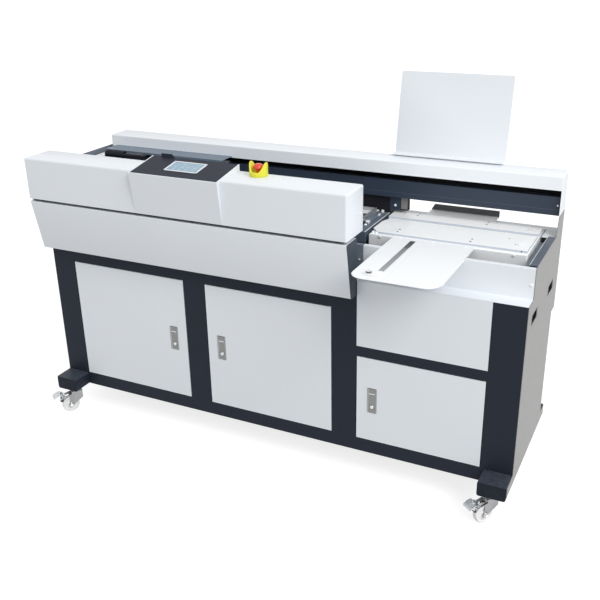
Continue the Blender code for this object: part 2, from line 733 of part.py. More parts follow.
def cabinet_floor(dark):
    front = FRAME_DEPTH + SEAT
    back = CABINET_DEPTH - SHEET - SEAT
    level = FOOT_TOP + SEAT
    item = to_object("cabinet_floor", block((INNER_LEFT, front, level), (INNER_RIGHT, back, level + SHEET)), dark)
    ledge = LEDGE_HEIGHT - SHEET - SEAT
    join(item, block((DECK_END - SHEET, front, level + SHEET / 2), (DECK_END, back, ledge)))
    return join(item, block((DECK_END - SHEET, WALL_SETBACK + SHEET + SEAT, ledge - SHEET / 2),
                            (DECK_END, back, DECK_TOP - DECK_DROP - SEAT)))


def foot(name, start, middle, dark):
    outline = rounded_outline([(start, CASTER_HEIGHT, FOOT_CORNER), (start + FOOT_WIDTH, CASTER_HEIGHT, FOOT_CORNER),
                               (start + FOOT_WIDTH, FOOT_TOP, CORNER), (start, FOOT_TOP, CORNER)], 3)
    item = to_object(name, prism(outline, "Y", -FOOT_FRONT, FOOT_BACK), dark)
    for y in (-FRONT_CASTER_Y, REAR_CASTER_Y):
        join(item, block((middle - SWIVEL_RADIUS, y - SWIVEL_RADIUS, CASTER_HEIGHT - CASTER_PLATE),
                         (middle + SWIVEL_RADIUS, y + SWIVEL_RADIUS, CASTER_HEIGHT + CASTER_PLATE)))
        cut(item, rod(SWIVEL_PIN_RADIUS + RUNNING, (middle, y, CASTER_HEIGHT), -CASTER_PLATE - OVERRUN,
                      FOOT_HEIGHT / 2))
    return item


def fixed_front_panel(white):
    low = (RIGHT_DOOR_START + SEAT, 0, FIXED_PANEL_BOTTOM + SEAT)
    high = (RIGHT_DOOR_END - SEAT, DOOR_DEPTH, LEDGE_HEIGHT - SHEET - SEAT)
    item = to_object("fixed_front_panel", block(low, high), white)
    return cut(item, block((low[0] + SHEET, SHEET, low[2] + SHEET),
                           (high[0] - SHEET, DOOR_DEPTH + OVERRUN, high[2] - SHEET)))


def step_profile():
    """The folded sheet of ledge, wall and top flange in (y, z)."""
    return bent_sheet([(WALL_SETBACK + WALL_FLANGE, WALL_TOP), (WALL_SETBACK, WALL_TOP),
                       (WALL_SETBACK, LEDGE_HEIGHT), (0, LEDGE_HEIGHT)], SHEET)


def ledge_wall(white):
    item = to_object("ledge_wall", prism(step_profile(), "X", BAY_START, INNER_RIGHT), white)
    slot = TRAY_START + SLOT_OFFSET
    return cut(item, block((slot - RULE_OVERLAP - OVERRUN, WALL_SETBACK - OVERRUN, WALL_TOP - NOTCH_DEPTH),
                           (slot + SLOT_WIDTH + RULE_OVERLAP + OVERRUN, WALL_SETBACK + WALL_FLANGE + OVERRUN,
                            WALL_TOP + OVERRUN)))


def front_apron(slate):
    item = to_object("front_apron", prism(step_profile(), "X", INNER_LEFT, BAY_START - SEAT), slate)
    back = COVER_BACK
    shelf = [(-COVER_FRONT + SHELF_SETBACK, SHELF_TOP - SHEET), (back, SHELF_TOP - SHEET),
             (back, COVER_BOTTOM - SEAT), (back - COVER_WALL, COVER_BOTTOM - SEAT),
             (back - COVER_WALL, SHELF_TOP), (-COVER_FRONT + SHELF_SETBACK, SHELF_TOP)]
    web = block((INNER_LEFT, SHELF_WEB_SETBACK, LEDGE_HEIGHT - SHEET / 2),
                (SHELF_WEB_END, SHELF_WEB_SETBACK + SHEET, SHELF_TOP - SHEET / 2))
    return join(item, web, prism(shelf, "X", INNER_LEFT, SHELF_END))


def machine_deck(slate):
    top = DECK_TOP
    wall = DECK_WALL_SETBACK
    line = [(DECK_FRONT, top - DECK_DROP), (DECK_FRONT, top), (wall, top), (wall, BEAM_BOTTOM - SEAT)]
    item = to_object("machine_deck", prism(bent_sheet(line, -SHEET), "X", INNER_LEFT, DECK_END), slate)
    join(item, block((DECK_END - SHEET, DECK_FRONT + SHEET / 2, top - DECK_DROP),
                     (DECK_END, wall - SHEET, top - SHEET / 2)))
    cut(item, rod(MILLING_SHAFT_RADIUS + OVERRUN, (MILLING_CENTRE, CLAMP_LINE, top), -SHEET - OVERRUN, OVERRUN))
    gap = TANK_FLANGE / 4
    return cut(item, block((TANK_START - gap, TANK_FRONT - gap, top - SHEET - OVERRUN),
                           (TANK_START + TANK_LENGTH + gap, TANK_FRONT + TANK_DEPTH + gap, top + OVERRUN)))


def side_rail(slate):
    line = [(INNER_RIGHT, RIGHT_SIDE_TOP), (INNER_RIGHT - SIDE_RAIL_WIDTH, RIGHT_SIDE_TOP),
            (INNER_RIGHT - SIDE_RAIL_WIDTH, RIGHT_SIDE_TOP - SIDE_RAIL_DROP)]
    front = WALL_SETBACK + WALL_FLANGE + SEAT
    return to_object("side_rail", prism(bent_sheet(line, SHEET), "Y", front, CHEEK_SLOPE_START), slate)


# Covers and console

def front_cover(white):
    below = COVER_BOTTOM - 2 * COVER_EDGE
    low = (0, -COVER_FRONT, below)
    high = (COVER_LENGTH, COVER_BACK, COVER_TOP)
    item = round_edges(to_object("front_cover", block(low, high), white), COVER_EDGE)
    cut(item, block((-OVERRUN, -COVER_FRONT - OVERRUN, below - OVERRUN),
                    (COVER_LENGTH + OVERRUN, COVER_BACK + OVERRUN, COVER_BOTTOM)))
    cut(item, block((COVER_WALL, -COVER_FRONT + COVER_WALL, below),
                    (COVER_LENGTH - COVER_WALL, COVER_BACK - COVER_WALL, COVER_TOP - COVER_WALL)))
    return cut(item, block((CONSOLE_START - SEAT, -COVER_FRONT - OVERRUN, below),
                           (CONSOLE_END + SEAT, COVER_BACK - COVER_WALL, COVER_TOP + OVERRUN)))


def lower_front_panel(white):
    line = [(-SEAT, LOWER_PANEL_BOTTOM), (-LOWER_PANEL_BOTTOM_REACH, LOWER_PANEL_BOTTOM),
            (-LOWER_PANEL_TOP_REACH, LOWER_PANEL_TOP), (-SEAT, LOWER_PANEL_TOP)]
    item = to_object("lower_front_panel", prism(line, "X", 0, COVER_LENGTH), white)
    line[0] = (OVERRUN, LOWER_PANEL_BOTTOM)
    line[-1] = (OVERRUN, LOWER_PANEL_TOP)
    inside = bent_sheet(line, -SHEET)[len(line):]
    return cut(item, prism(inside, "X", SHEET, COVER_LENGTH - SHEET))


def console_point(along, lift=0):
    """A point in (y, z) on the console's sloping top, a distance back from its front edge."""
    front = Vector((-CONSOLE_FRONT_TOP_REACH, CONSOLE_FRONT_TOP))
    slope = (Vector((CONSOLE_BACK, CONSOLE_BACK_TOP)) - front).normalized()
    point = front + slope * along + Vector((-slope.y, slope.x)) * lift
    return tuple(point)


def console_length():
    return math.hypot(CONSOLE_BACK + CONSOLE_FRONT_TOP_REACH, CONSOLE_BACK_TOP - CONSOLE_FRONT_TOP)


def console_housing(white):
    outline = [(-COVER_FRONT, COVER_BOTTOM), (CONSOLE_BACK, COVER_BOTTOM), (CONSOLE_BACK, CONSOLE_BACK_TOP),
               (-CONSOLE_FRONT_TOP_REACH, CONSOLE_FRONT_TOP)]
    item = to_object("console_housing", prism(outline, "X", CONSOLE_START, CONSOLE_END), white)
    floor = -PANEL_RECESS - PANEL_THICKNESS - SEAT
    inside = [(-COVER_FRONT + COVER_WALL, COVER_BOTTOM - OVERRUN), (CONSOLE_BACK - COVER_WALL, COVER_BOTTOM - OVERRUN),
              console_point(console_length() - COVER_WALL, floor - COVER_WALL),
              console_point(COVER_WALL + CONSOLE_RIM, floor - COVER_WALL)]
    cut(item, prism(inside, "X", CONSOLE_START + COVER_WALL, CONSOLE_END - COVER_WALL))
    recess = [console_point(CONSOLE_RIM, floor), console_point(console_length() + OVERRUN, floor),
              console_point(console_length() + OVERRUN, OVERRUN), console_point(CONSOLE_RIM, OVERRUN)]
    return cut(item, prism(recess, "X", CONSOLE_START + CONSOLE_RIM, CONSOLE_END - CONSOLE_RIM))


def console_panel(dark):
    inset = CONSOLE_RIM + SEAT
    bottom = -PANEL_RECESS - PANEL_THICKNESS
    end = console_length() - SHEET
    outline = [console_point(inset, bottom), console_point(end, bottom), console_point(end, -PANEL_RECESS),
               console_point(inset, -PANEL_RECESS)]
    item = to_object("console_panel", prism(outline, "X", CONSOLE_START + inset, CONSOLE_END - inset), dark)
    start = CONSOLE_START + TAB_START
    back = console_point(end, -PANEL_RECESS)
    tab = [(start, back[1] - SHEET), (start + TAB_WIDTH, back[1] - SHEET),
           (start + TAB_WIDTH - TAB_SLOPE, back[1] + TAB_HEIGHT), (start, back[1] + TAB_HEIGHT)]
    return join(item, prism(tab, "Y", back[0] - 2 * SHEET, back[0] - SHEET / 2))


def touch_screen(display):
    base = -PANEL_RECESS + SEAT
    outline = [console_point(SCREEN_FRONT, base), console_point(SCREEN_FRONT + SCREEN_DEPTH, base),
               console_point(SCREEN_FRONT + SCREEN_DEPTH, base + SCREEN_THICKNESS),
               console_point(SCREEN_FRONT, base + SCREEN_THICKNESS)]
    start = CONSOLE_START + SCREEN_START
    return to_object("touch_screen", prism(outline, "X", start, start + SCREEN_WIDTH), display)


def rear_cover(white):
    below = REAR_COVER_LOW_BACK - 2 * CORNER
    low = (REAR_COVER_START, REAR_COVER_FRONT, below)
    high = (LENGTH, HOUSING_DEPTH, REAR_COVER_TOP)
    item = round_edges(to_object("rear_cover", block(low, high), white), CORNER)
    inner_left = REAR_COVER_START + SHEET
    inner_right = LENGTH - SHEET
    front = REAR_COVER_FRONT - OVERRUN
    cut(item, block((REAR_COVER_START - OVERRUN, front, below - OVERRUN),
                    (LENGTH + OVERRUN, HOUSING_DEPTH + OVERRUN, REAR_COVER_LOW_BACK)))
    cut(item, block((inner_left, REAR_COVER_FRONT + SHEET, below),
                    (inner_right, HOUSING_DEPTH - SHEET, REAR_COVER_TOP - SHEET)))
    cut(item, block((inner_left, front, below), (inner_right, REAR_COVER_FRONT + CORNER + OVERRUN, REAR_COVER_LIP)))
    cut(item, block((REAR_COVER_START - OVERRUN, front, below),
                    (inner_left + OVERRUN, HOUSING_DEPTH - SHEET, CHEEK_BOTTOM)))
    cut(item, block((DECK_WALL_END, front, below), (LENGTH + OVERRUN, HOUSING_DEPTH + OVERRUN, CHEEK_BOTTOM)))
    hood = [(HOOD_FRONT, HOOD_TOP - HOOD_FLANGE), (HOOD_FRONT, HOOD_TOP), (REAR_COVER_FRONT + SHEET / 2, HOOD_TOP)]
    return join(item, prism(bent_sheet(hood, -SHEET), "X", HOOD_START, HOOD_END))


def document_board(white):
    lean = math.radians(BOARD_LEAN)
    top = (BOARD_BEND_Y + BOARD_LENGTH * math.sin(lean), BOARD_LIP_Z + BOARD_LENGTH * math.cos(lean))
    line = [(BOARD_LIP_FRONT, BOARD_LIP_Z), (BOARD_BEND_Y, BOARD_LIP_Z), top]
    item = to_object("document_board", prism(bent_sheet(line, -SHEET), "X", BOARD_START, BOARD_START + BOARD_WIDTH), white)
    for side in (-1, 1):
        edge = BOARD_WIDTH / 2
        turns = [math.pi / 2 * step / CORNER_STEPS for step in range(CORNER_STEPS + 1)]
        arc = [(side * (edge - BOARD_CORNER + BOARD_CORNER * math.cos(turn)),
                BOARD_LENGTH - BOARD_CORNER + BOARD_CORNER * math.sin(turn)) for turn in turns]
        corner = [(side * (edge + OVERRUN), arc[0][1])] + arc
        corner += [(arc[-1][0], BOARD_LENGTH + OVERRUN), (side * (edge + OVERRUN), BOARD_LENGTH + OVERRUN)]
        mesh = prism(corner, "Y", -OVERRUN, SHEET + OVERRUN)
        place = Matrix.Translation((BOARD_START + edge, BOARD_BEND_Y, BOARD_LIP_Z)) @ Matrix.Rotation(-lean, 4, "X")
        bmesh.ops.transform(mesh, matrix=place, verts=mesh.verts)
        cut(item, mesh)
    for start in (BOARD_PAD_INSET, BOARD_WIDTH - BOARD_PAD_INSET - BOARD_PAD_WIDTH):
        x = BOARD_START + start
        front = BOARD_LIP_FRONT + BOARD_PAD_WIDTH / 2
        join(item, block((x, front, REAR_COVER_TOP + SEAT), (x + BOARD_PAD_WIDTH, front + BOARD_PAD_WIDTH,
                                                             BOARD_LIP_Z - SHEET / 2)))
    return item


# Emergency stop

def guard_rim(angle):
    """Height of the guard's rim at an angle: low to the front and back, high at the sides."""
    off = abs((math.degrees(angle) + 90.0) % 180.0 - 90.0)
    from_front = 90.0 - off
    share = min(max((from_front - GUARD_NOTCH_HALF_ANGLE) / (GUARD_LOBE_ANGLE - GUARD_NOTCH_HALF_ANGLE), 0), 1)
    eased = share * share * (3 - 2 * share)
    return GUARD_LOW + (GUARD_HIGH - GUARD_LOW) * eased


def estop_guard(yellow):
    base = COVER_TOP + SEAT
    mesh = turned([(ESTOP_STEM_RADIUS + RUNNING, 0), (GUARD_RADIUS, 0), (GUARD_RADIUS, GUARD_HIGH),
                   (GUARD_RADIUS - GUARD_WALL, GUARD_HIGH), (GUARD_RADIUS - GUARD_WALL, GUARD_BASE),
                   (ESTOP_STEM_RADIUS + RUNNING, GUARD_BASE)], (0, 0, 0), steps=2 * ROUND_STEPS)
    for vert in mesh.verts:
        if abs(vert.co.z - GUARD_HIGH) < SEAT:
            vert.co.z = guard_rim(math.atan2(vert.co.y, vert.co.x))
    bmesh.ops.translate(mesh, verts=mesh.verts, vec=(ESTOP_X, ESTOP_Y, base))
    return smooth(to_object("estop_guard", mesh, yellow))


def estop_button(red):
    base = COVER_TOP + SEAT
    bottom = MUSHROOM_BOTTOM
    profile = [(0, ESTOP_TRAVEL + SEAT), (ESTOP_STEM_RADIUS, ESTOP_TRAVEL + SEAT), (ESTOP_STEM_RADIUS, bottom),
               (MUSHROOM_RADIUS - CORNER / 2, bottom)]
    for step in range(DOME_STEPS):
        angle = math.pi / 2 * step / DOME_STEPS
        profile.append((MUSHROOM_RADIUS * math.cos(angle), bottom + CORNER + (MUSHROOM_HEIGHT - CORNER) * math.sin(angle)))
    profile.append((0, bottom + MUSHROOM_HEIGHT))
    origin = (ESTOP_X, ESTOP_Y, base)
    return smooth(to_object("estop_button", turned(profile, origin), red, origin))


# Beam and rail

def guide_beam(slate):
    end = LENGTH - SHEET - SEAT
    low = (BEAM_START, BEAM_FRONT, BEAM_BOTTOM)
    item = to_object("guide_beam", block(low, (end, BEAM_FRONT + BEAM_DEPTH, BEAM_TOP)), slate)
    return cut(item, block((BEAM_START - OVERRUN, BEAM_FRONT + BEAM_WALL, BEAM_BOTTOM + BEAM_WALL),
                           (end + OVERRUN, BEAM_FRONT + BEAM_DEPTH - BEAM_WALL, BEAM_TOP - BEAM_WALL)))


def guide_rail(steel):
    centre = (0, GUIDE_RAIL_Y, GUIDE_RAIL_HEIGHT)
    return smooth(to_object("guide_rail", rod(GUIDE_RAIL_RADIUS, centre, BEAM_START, LENGTH - SHEET - SEAT, "X",
                                              ROUND_STEPS), steel))


def beam_post(steel):
    front = DECK_WALL_SETBACK
    end = POST_START + POST_WIDTH
    outline = [(DECK_END + SEAT, front), (end, front), (end, front + POST_DEPTH), (POST_START, front + POST_DEPTH),
               (POST_START, front + SHEET), (DECK_END + SEAT, front + SHEET)]
    item = to_object("beam_post", prism(outline, "Z", POST_BOTTOM, BEAM_BOTTOM - SEAT), steel)
    return round_edges(item, POST_EDGE, 1)


# Press table

def lift_guide(steel):
    front = FRAME_DEPTH + SEAT
    back = CABINET_DEPTH - SHEET - SEAT
    start = DECK_END + SEAT
    item = to_object("lift_guide", block((start, front, LIFT_SHELF), (INNER_RIGHT, back, LIFT_SHELF + SHEET)), steel)
    middle = (TABLE_START + TABLE_END) / 2
    centre = (TABLE_FRONT + TABLE_BACK) / 2
    half = LIFT_COLUMN / 2
    return join(item, block((middle - half, centre - half, LIFT_SHELF + SHEET / 2),
                            (middle + half, centre + half, LIFT_COLUMN_TOP)))


def table_box(white):
    item = to_object("table_box", block((TABLE_START, TABLE_FRONT, TABLE_BOTTOM), (TABLE_END, TABLE_BACK, TABLE_TOP)),
                     white)
    round_edges(item, SHEET, 1)
    cut(item, block((TABLE_START + SHEET, TABLE_FRONT + SHEET, TABLE_BOTTOM - OVERRUN - SHEET),
                    (TABLE_END - SHEET, TABLE_BACK - SHEET, TABLE_TOP - SHEET)))
    middle = (TABLE_START + TABLE_END) / 2
    centre = (TABLE_FRONT + TABLE_BACK) / 2
    inner = LIFT_COLUMN / 2 + RUNNING
    outer = inner + SLEEVE_WALL
    join(item, block((middle - outer, centre - outer, TABLE_BOTTOM), (middle + outer, centre + outer,
                                                                     TABLE_TOP - SHEET / 2)))
    return cut(item, block((middle - inner, centre - inner, TABLE_BOTTOM - OVERRUN),
                           (middle + inner, centre + inner, LIFT_COLUMN_TOP + SEAT)))


def nip_plate(name, start, depth, front_cut, white):
    left = TABLE_START
    right = TABLE_END - NIP_PLATE_END_INSET
    outline = [(right, start), (right, start + depth), (left, start + depth)]
    outline += [(left, start + NIP_CORNER_DEPTH), (left + NIP_CORNER_CUT, start)] if front_cut else [(left, start)]
    base = TABLE_TOP + SEAT
    origin = ((left + right) / 2, start, base)
    return to_object(name, prism(outline, "Z", base, base + NIP_PLATE_THICKNESS), white, origin)


def cover_tray(white):
    base = TABLE_TOP + SEAT
    right = TRAY_START + TRAY_WIDTH
    outline = rounded_outline([(TRAY_START, TRAY_BACK, 0), (TRAY_START, -TRAY_REACH, TRAY_CORNER),
                               (right, -TRAY_REACH, TRAY_CORNER), (right, TRAY_BACK, 0)], 8)
    item = to_object("cover_tray", prism(outline, "Z", base, base + SHEET), white)
    lip_end = TABLE_FRONT - SEAT * 2
    join(item, block((right - SHEET, -TRAY_REACH + TRAY_CORNER + OVERRUN, base - TRAY_LIP + SHEET),
                     (right, WALL_SETBACK - SEAT * 2, base + SHEET / 2)))
    join(item, block((right - SHEET, WALL_SETBACK + WALL_FLANGE + SEAT * 2, base - TRAY_LIP + SHEET),
                     (right, lip_end, base + SHEET / 2)))
    slot = TRAY_START + SLOT_OFFSET
    return cut(item, block((slot, -SLOT_FRONT, base - OVERRUN), (slot + SLOT_WIDTH, SLOT_BACK, base + SHEET + OVERRUN)))


def tray_rule(steel):
    top = TABLE_TOP
    slot = TRAY_START + SLOT_OFFSET
    return to_object("tray_rule", block((slot - RULE_OVERLAP, -SLOT_FRONT - RULE_OVERLAP, top - RULE_THICKNESS),
                                        (slot + SLOT_WIDTH + RULE_OVERLAP, RULE_BACK, top)), steel)


def tray_stop(white):
    deck = TABLE_TOP + SEAT + SHEET + SEAT
    right = TRAY_START + SLOT_OFFSET + SLOT_WIDTH + RULE_OVERLAP
    front = -SLOT_FRONT + SEAT
    origin = (right - STOP_WIDTH / 2, front, deck)
    item = to_object("tray_stop", block((right - STOP_WIDTH, front, deck), (right, front + STOP_DEPTH,
                                                                           deck + STOP_HEIGHT)), white, origin)
    round_edges(item, STOP_CHAMFER, 1)
    slot = TRAY_START + SLOT_OFFSET
    join(item, block((slot + RUNNING, front + RUNNING, TABLE_TOP + SEAT),
                     (slot + SLOT_WIDTH - RUNNING, front + STOP_TONGUE_DEPTH, deck + STOP_HEIGHT / 2)))
    knob = stop_knob_place()
    return cut(item, rod(KNOB_STEM_RADIUS + RUNNING, knob, -STOP_HEIGHT - OVERRUN, OVERRUN))


def stop_knob_place():
    deck = TABLE_TOP + SEAT + SHEET + SEAT
    left = TRAY_START + SLOT_OFFSET + SLOT_WIDTH + RULE_OVERLAP - STOP_WIDTH
    return (left + KNOB_RADIUS + STOP_CHAMFER, -SLOT_FRONT + SEAT + KNOB_RADIUS + STOP_CHAMFER, deck + STOP_HEIGHT)


def stop_knob(chrome):
    place = stop_knob_place()
    lip = STOP_CHAMFER
    profile = [(0, -STOP_HEIGHT + SEAT), (KNOB_STEM_RADIUS, -STOP_HEIGHT + SEAT), (KNOB_STEM_RADIUS, SEAT),
               (KNOB_RADIUS - lip, SEAT), (KNOB_RADIUS, SEAT + lip), (KNOB_RADIUS, KNOB_HEIGHT - lip),
               (KNOB_RADIUS - lip, KNOB_HEIGHT), (KNOB_RADIUS / 2, KNOB_HEIGHT), (KNOB_RADIUS / 2, KNOB_HEIGHT - lip),
               (0, KNOB_HEIGHT - lip)]
    mesh = turned(profile, place, steps=2 * KNOB_GROOVES)
    for vert in mesh.verts:
        arm = Vector((vert.co.x - place[0], vert.co.y - place[1]))
        turn = round(math.degrees(math.atan2(arm.y, arm.x)) * KNOB_GROOVES / 180)
        if arm.length > KNOB_RADIUS - lip / 2 and turn % 2:
            vert.co.x -= arm.x / arm.length * lip / 2
            vert.co.y -= arm.y / arm.length * lip / 2
    return to_object("stop_knob", mesh, chrome, place)


def rear_tray(white):
    base = TABLE_TOP + SEAT
    back = REAR_TRAY_FRONT + REAR_TRAY_DEPTH
    line = [(REAR_TRAY_FRONT, base), (back, base), (back, base + REAR_STOP_HEIGHT)]
    return to_object("rear_tray", prism(bent_sheet(line, SHEET), "X", REAR_TRAY_START,
                                        REAR_TRAY_START + REAR_TRAY_WIDTH), white)


# Clamp carriage

def clamp_carriage(steel):
    back = REAR_JAW_FRONT + REAR_JAW_THICKNESS
    origin = (CARRIAGE_START, GUIDE_RAIL_Y, GUIDE_RAIL_HEIGHT)
    item = to_object("clamp_carriage", block((CARRIAGE_START, REAR_JAW_FRONT, JAW_BOTTOM),
                                             (CARRIAGE_END, back, REAR_ARM_TOP)), steel, origin)
    rail_back = GUIDE_RAIL_Y + BEARING_DEPTH / 2
    join(item, block((CARRIAGE_START + ARM_INSET, back - SHEET, REAR_ARM_TOP - ARM_THICKNESS),
                     (CARRIAGE_END - ARM_INSET, rail_back, REAR_ARM_TOP)))
    for start in (CARRIAGE_START + ARM_INSET, CARRIAGE_END - ARM_INSET - BEARING_LENGTH):
        join(item, block((start, GUIDE_RAIL_Y - BEARING_DEPTH / 2, GUIDE_RAIL_HEIGHT - BEARING_DROP / 2),
                         (start + BEARING_LENGTH, rail_back, REAR_ARM_TOP - ARM_THICKNESS / 2)))
    for x in (CARRIAGE_START + ROD_INSET, CARRIAGE_END - ROD_INSET):
        join(item, rod(ROD_RADIUS, (x, REAR_JAW_FRONT, ROD_HEIGHT), -ROD_REACH, SHEET, "Y"))
    return cut(item, rod(GUIDE_RAIL_RADIUS + RUNNING, (0, GUIDE_RAIL_Y, GUIDE_RAIL_HEIGHT), CARRIAGE_START,
                         CARRIAGE_END, "X", ROUND_STEPS))


def clamp_jaw(slate):
    back = FRONT_JAW_FRONT + FRONT_JAW_DEPTH
    origin = (CARRIAGE_START, back, JAW_BOTTOM)
    item = to_object("clamp_jaw", block((CARRIAGE_START, FRONT_JAW_FRONT, FRONT_JAW_END_BOTTOM),
                                        (CARRIAGE_END, back, FRONT_JAW_TOP)), slate, origin)
    wall = 2 * COVER_WALL
    cut(item, block((CARRIAGE_START + wall, FRONT_JAW_FRONT + COVER_WALL, FRONT_JAW_END_BOTTOM - OVERRUN),
                    (CARRIAGE_END - wall, back - FRONT_JAW_PLATE, FRONT_JAW_TOP - COVER_WALL)))
    cut(item, block((CARRIAGE_START + wall, FRONT_JAW_FRONT - OVERRUN, FRONT_JAW_END_BOTTOM - OVERRUN),
                    (CARRIAGE_END - wall, FRONT_JAW_FRONT + COVER_WALL + OVERRUN, FRONT_JAW_TOP - FRONT_JAW_LIP)))
    join(item, block((CARRIAGE_START, back - FRONT_JAW_PLATE, JAW_BOTTOM), (CARRIAGE_END, back,
                                                                         FRONT_JAW_END_BOTTOM + SHEET)))
    for x in (CARRIAGE_START + ROD_INSET, CARRIAGE_END - ROD_INSET):
        join(item, block((x - ROD_RADIUS - COVER_WALL, FRONT_JAW_FRONT + SHEET, ROD_HEIGHT - ROD_RADIUS - COVER_WALL),
                         (x + ROD_RADIUS + COVER_WALL, back - SHEET, ROD_HEIGHT + ROD_RADIUS + COVER_WALL)))
        cut(item, rod(ROD_RADIUS + RUNNING, (x, FRONT_JAW_FRONT, ROD_HEIGHT), -OVERRUN,
                      FRONT_JAW_DEPTH + OVERRUN, "Y"))
    return item


def clamp_motor(black):
    x = CARRIAGE_START + MOTOR_OFFSET
    y = FRONT_JAW_FRONT + MOTOR_SETBACK
    base = FRONT_JAW_TOP + SEAT
    half = CLAMP_MOTOR_RADIUS
    outline = [(y - half, base), (y + half, base)]
    for step in range(ARC_STEPS + 1):
        angle = math.pi * step / ARC_STEPS
        outline.append((y + half * math.cos(angle), base + half * (1 + math.sin(angle))))
    item = to_object("clamp_motor", prism(outline, "X", x, x + CLAMP_MOTOR_LENGTH), black)
    end = x + CLAMP_MOTOR_LENGTH
    return join(item, block((end - SHEET, y - half + SHEET, base), (end + GEARBOX_LENGTH, y + half - SHEET,
                                                                   base + GEARBOX_HEIGHT)))


# Milling head and glue tank

def milling_motor(grey):
    top = DECK_TOP - SHEET - SEAT
    flange = top - MILLING_FLANGE_THICKNESS
    profile = [(0, flange - MILLING_MOTOR_LENGTH), (MILLING_MOTOR_RADIUS, flange - MILLING_MOTOR_LENGTH),
               (MILLING_MOTOR_RADIUS, flange), (MILLING_FLANGE_RADIUS, flange), (MILLING_FLANGE_RADIUS, top),
               (MILLING_SHAFT_RADIUS, top), (MILLING_SHAFT_RADIUS, CUTTER_BOTTOM - SEAT), (0, CUTTER_BOTTOM - SEAT)]
    return smooth(to_object("milling_motor", turned(profile, (MILLING_CENTRE, CLAMP_LINE, 0)), grey))


def milling_cutter(steel):
    outline = []
    for tooth in range(CUTTER_TEETH):
        for share, radius in ((0, CUTTER_RADIUS), (TOOTH_SHARE, CUTTER_RADIUS),
                              (NOTCH_START_SHARE, CUTTER_RADIUS - CUTTER_NOTCH),
                              (NOTCH_END_SHARE, CUTTER_RADIUS - CUTTER_NOTCH)):
            angle = 2 * math.pi * (tooth + share) / CUTTER_TEETH
            outline.append((MILLING_CENTRE + radius * math.cos(angle), CLAMP_LINE + radius * math.sin(angle)))
    origin = (MILLING_CENTRE, CLAMP_LINE, CUTTER_BOTTOM)
    return to_object("milling_cutter", prism(outline, "Z", CUTTER_BOTTOM, CUTTER_BOTTOM + CUTTER_THICKNESS), steel,
                     origin)


def glue_tank(aluminium):
    low = (TANK_START, TANK_FRONT, TANK_BOTTOM)
    high = (TANK_START + TANK_LENGTH, TANK_FRONT + TANK_DEPTH, TANK_TOP)
    item = to_object("glue_tank", block(low, high), aluminium)
    lip = TANK_FLANGE
    join(item, block((low[0] - lip, low[1] - lip, DECK_TOP + SEAT),
                     (high[0] + lip, high[1] + lip, DECK_TOP + SEAT + SHEET)))
    cut(item, block((low[0] + TANK_WALL, low[1] + TANK_WALL, low[2] + TANK_WALL),
                    (high[0] - TANK_WALL, high[1] - TANK_WALL, high[2] + OVERRUN)))
    centre = (TANK_START + TANK_LENGTH / 2, 0, ROLLER_HEIGHT)
    return cut(item, rod(ROLLER_CORE_RADIUS + RUNNING, centre, TANK_FRONT - lip - OVERRUN,
                         TANK_FRONT + TANK_DEPTH + lip + OVERRUN, "Y"))


def glue_roller(steel):
    start = TANK_FRONT + TANK_WALL + ROLLER_END_GAP
    stop = TANK_FRONT + TANK_DEPTH - TANK_WALL - ROLLER_END_GAP
    profile = [(0, TANK_FRONT - SEAT), (ROLLER_CORE_RADIUS, TANK_FRONT - SEAT), (ROLLER_CORE_RADIUS, start),
               (ROLLER_RADIUS, start), (ROLLER_RADIUS, stop), (ROLLER_CORE_RADIUS, stop),
               (ROLLER_CORE_RADIUS, TANK_FRONT + TANK_DEPTH), (0, TANK_FRONT + TANK_DEPTH)]
    centre = (TANK_START + TANK_LENGTH / 2, 0, ROLLER_HEIGHT)
    mesh = turned(profile, centre, "Y")
    return smooth(to_object("glue_roller", mesh, steel, (centre[0], CLAMP_LINE, ROLLER_HEIGHT)))


# Doors and locks

def door_table():
    """Each door: its name, its opening, its head, the side that it hangs on, and its pivot."""
    doors = []
    for name, start, width, head, hangs in (("left", LEFT_COLUMN, DOOR_WIDTH, DOOR_TOP, "left"),
                                            ("middle", MIDDLE_DOOR_START, DOOR_WIDTH, DOOR_TOP, "right"),
                                            ("right", RIGHT_DOOR_START, RIGHT_DOOR_WIDTH, RIGHT_DOOR_TOP, "right")):
        inset = DOOR_GAP + DOOR_PIVOT_INSET
        pivot = start + inset if hangs == "left" else start + width - inset
        lock = start + width - LOCK_INSET if hangs == "left" else start + LOCK_INSET
        doors.append({"name": name, "start": start, "end": start + width, "head": head, "pivot": pivot,
                      "lock": lock, "lock_z": (DOOR_BOTTOM + head) / 2})
    return doors


DOORS = door_table()


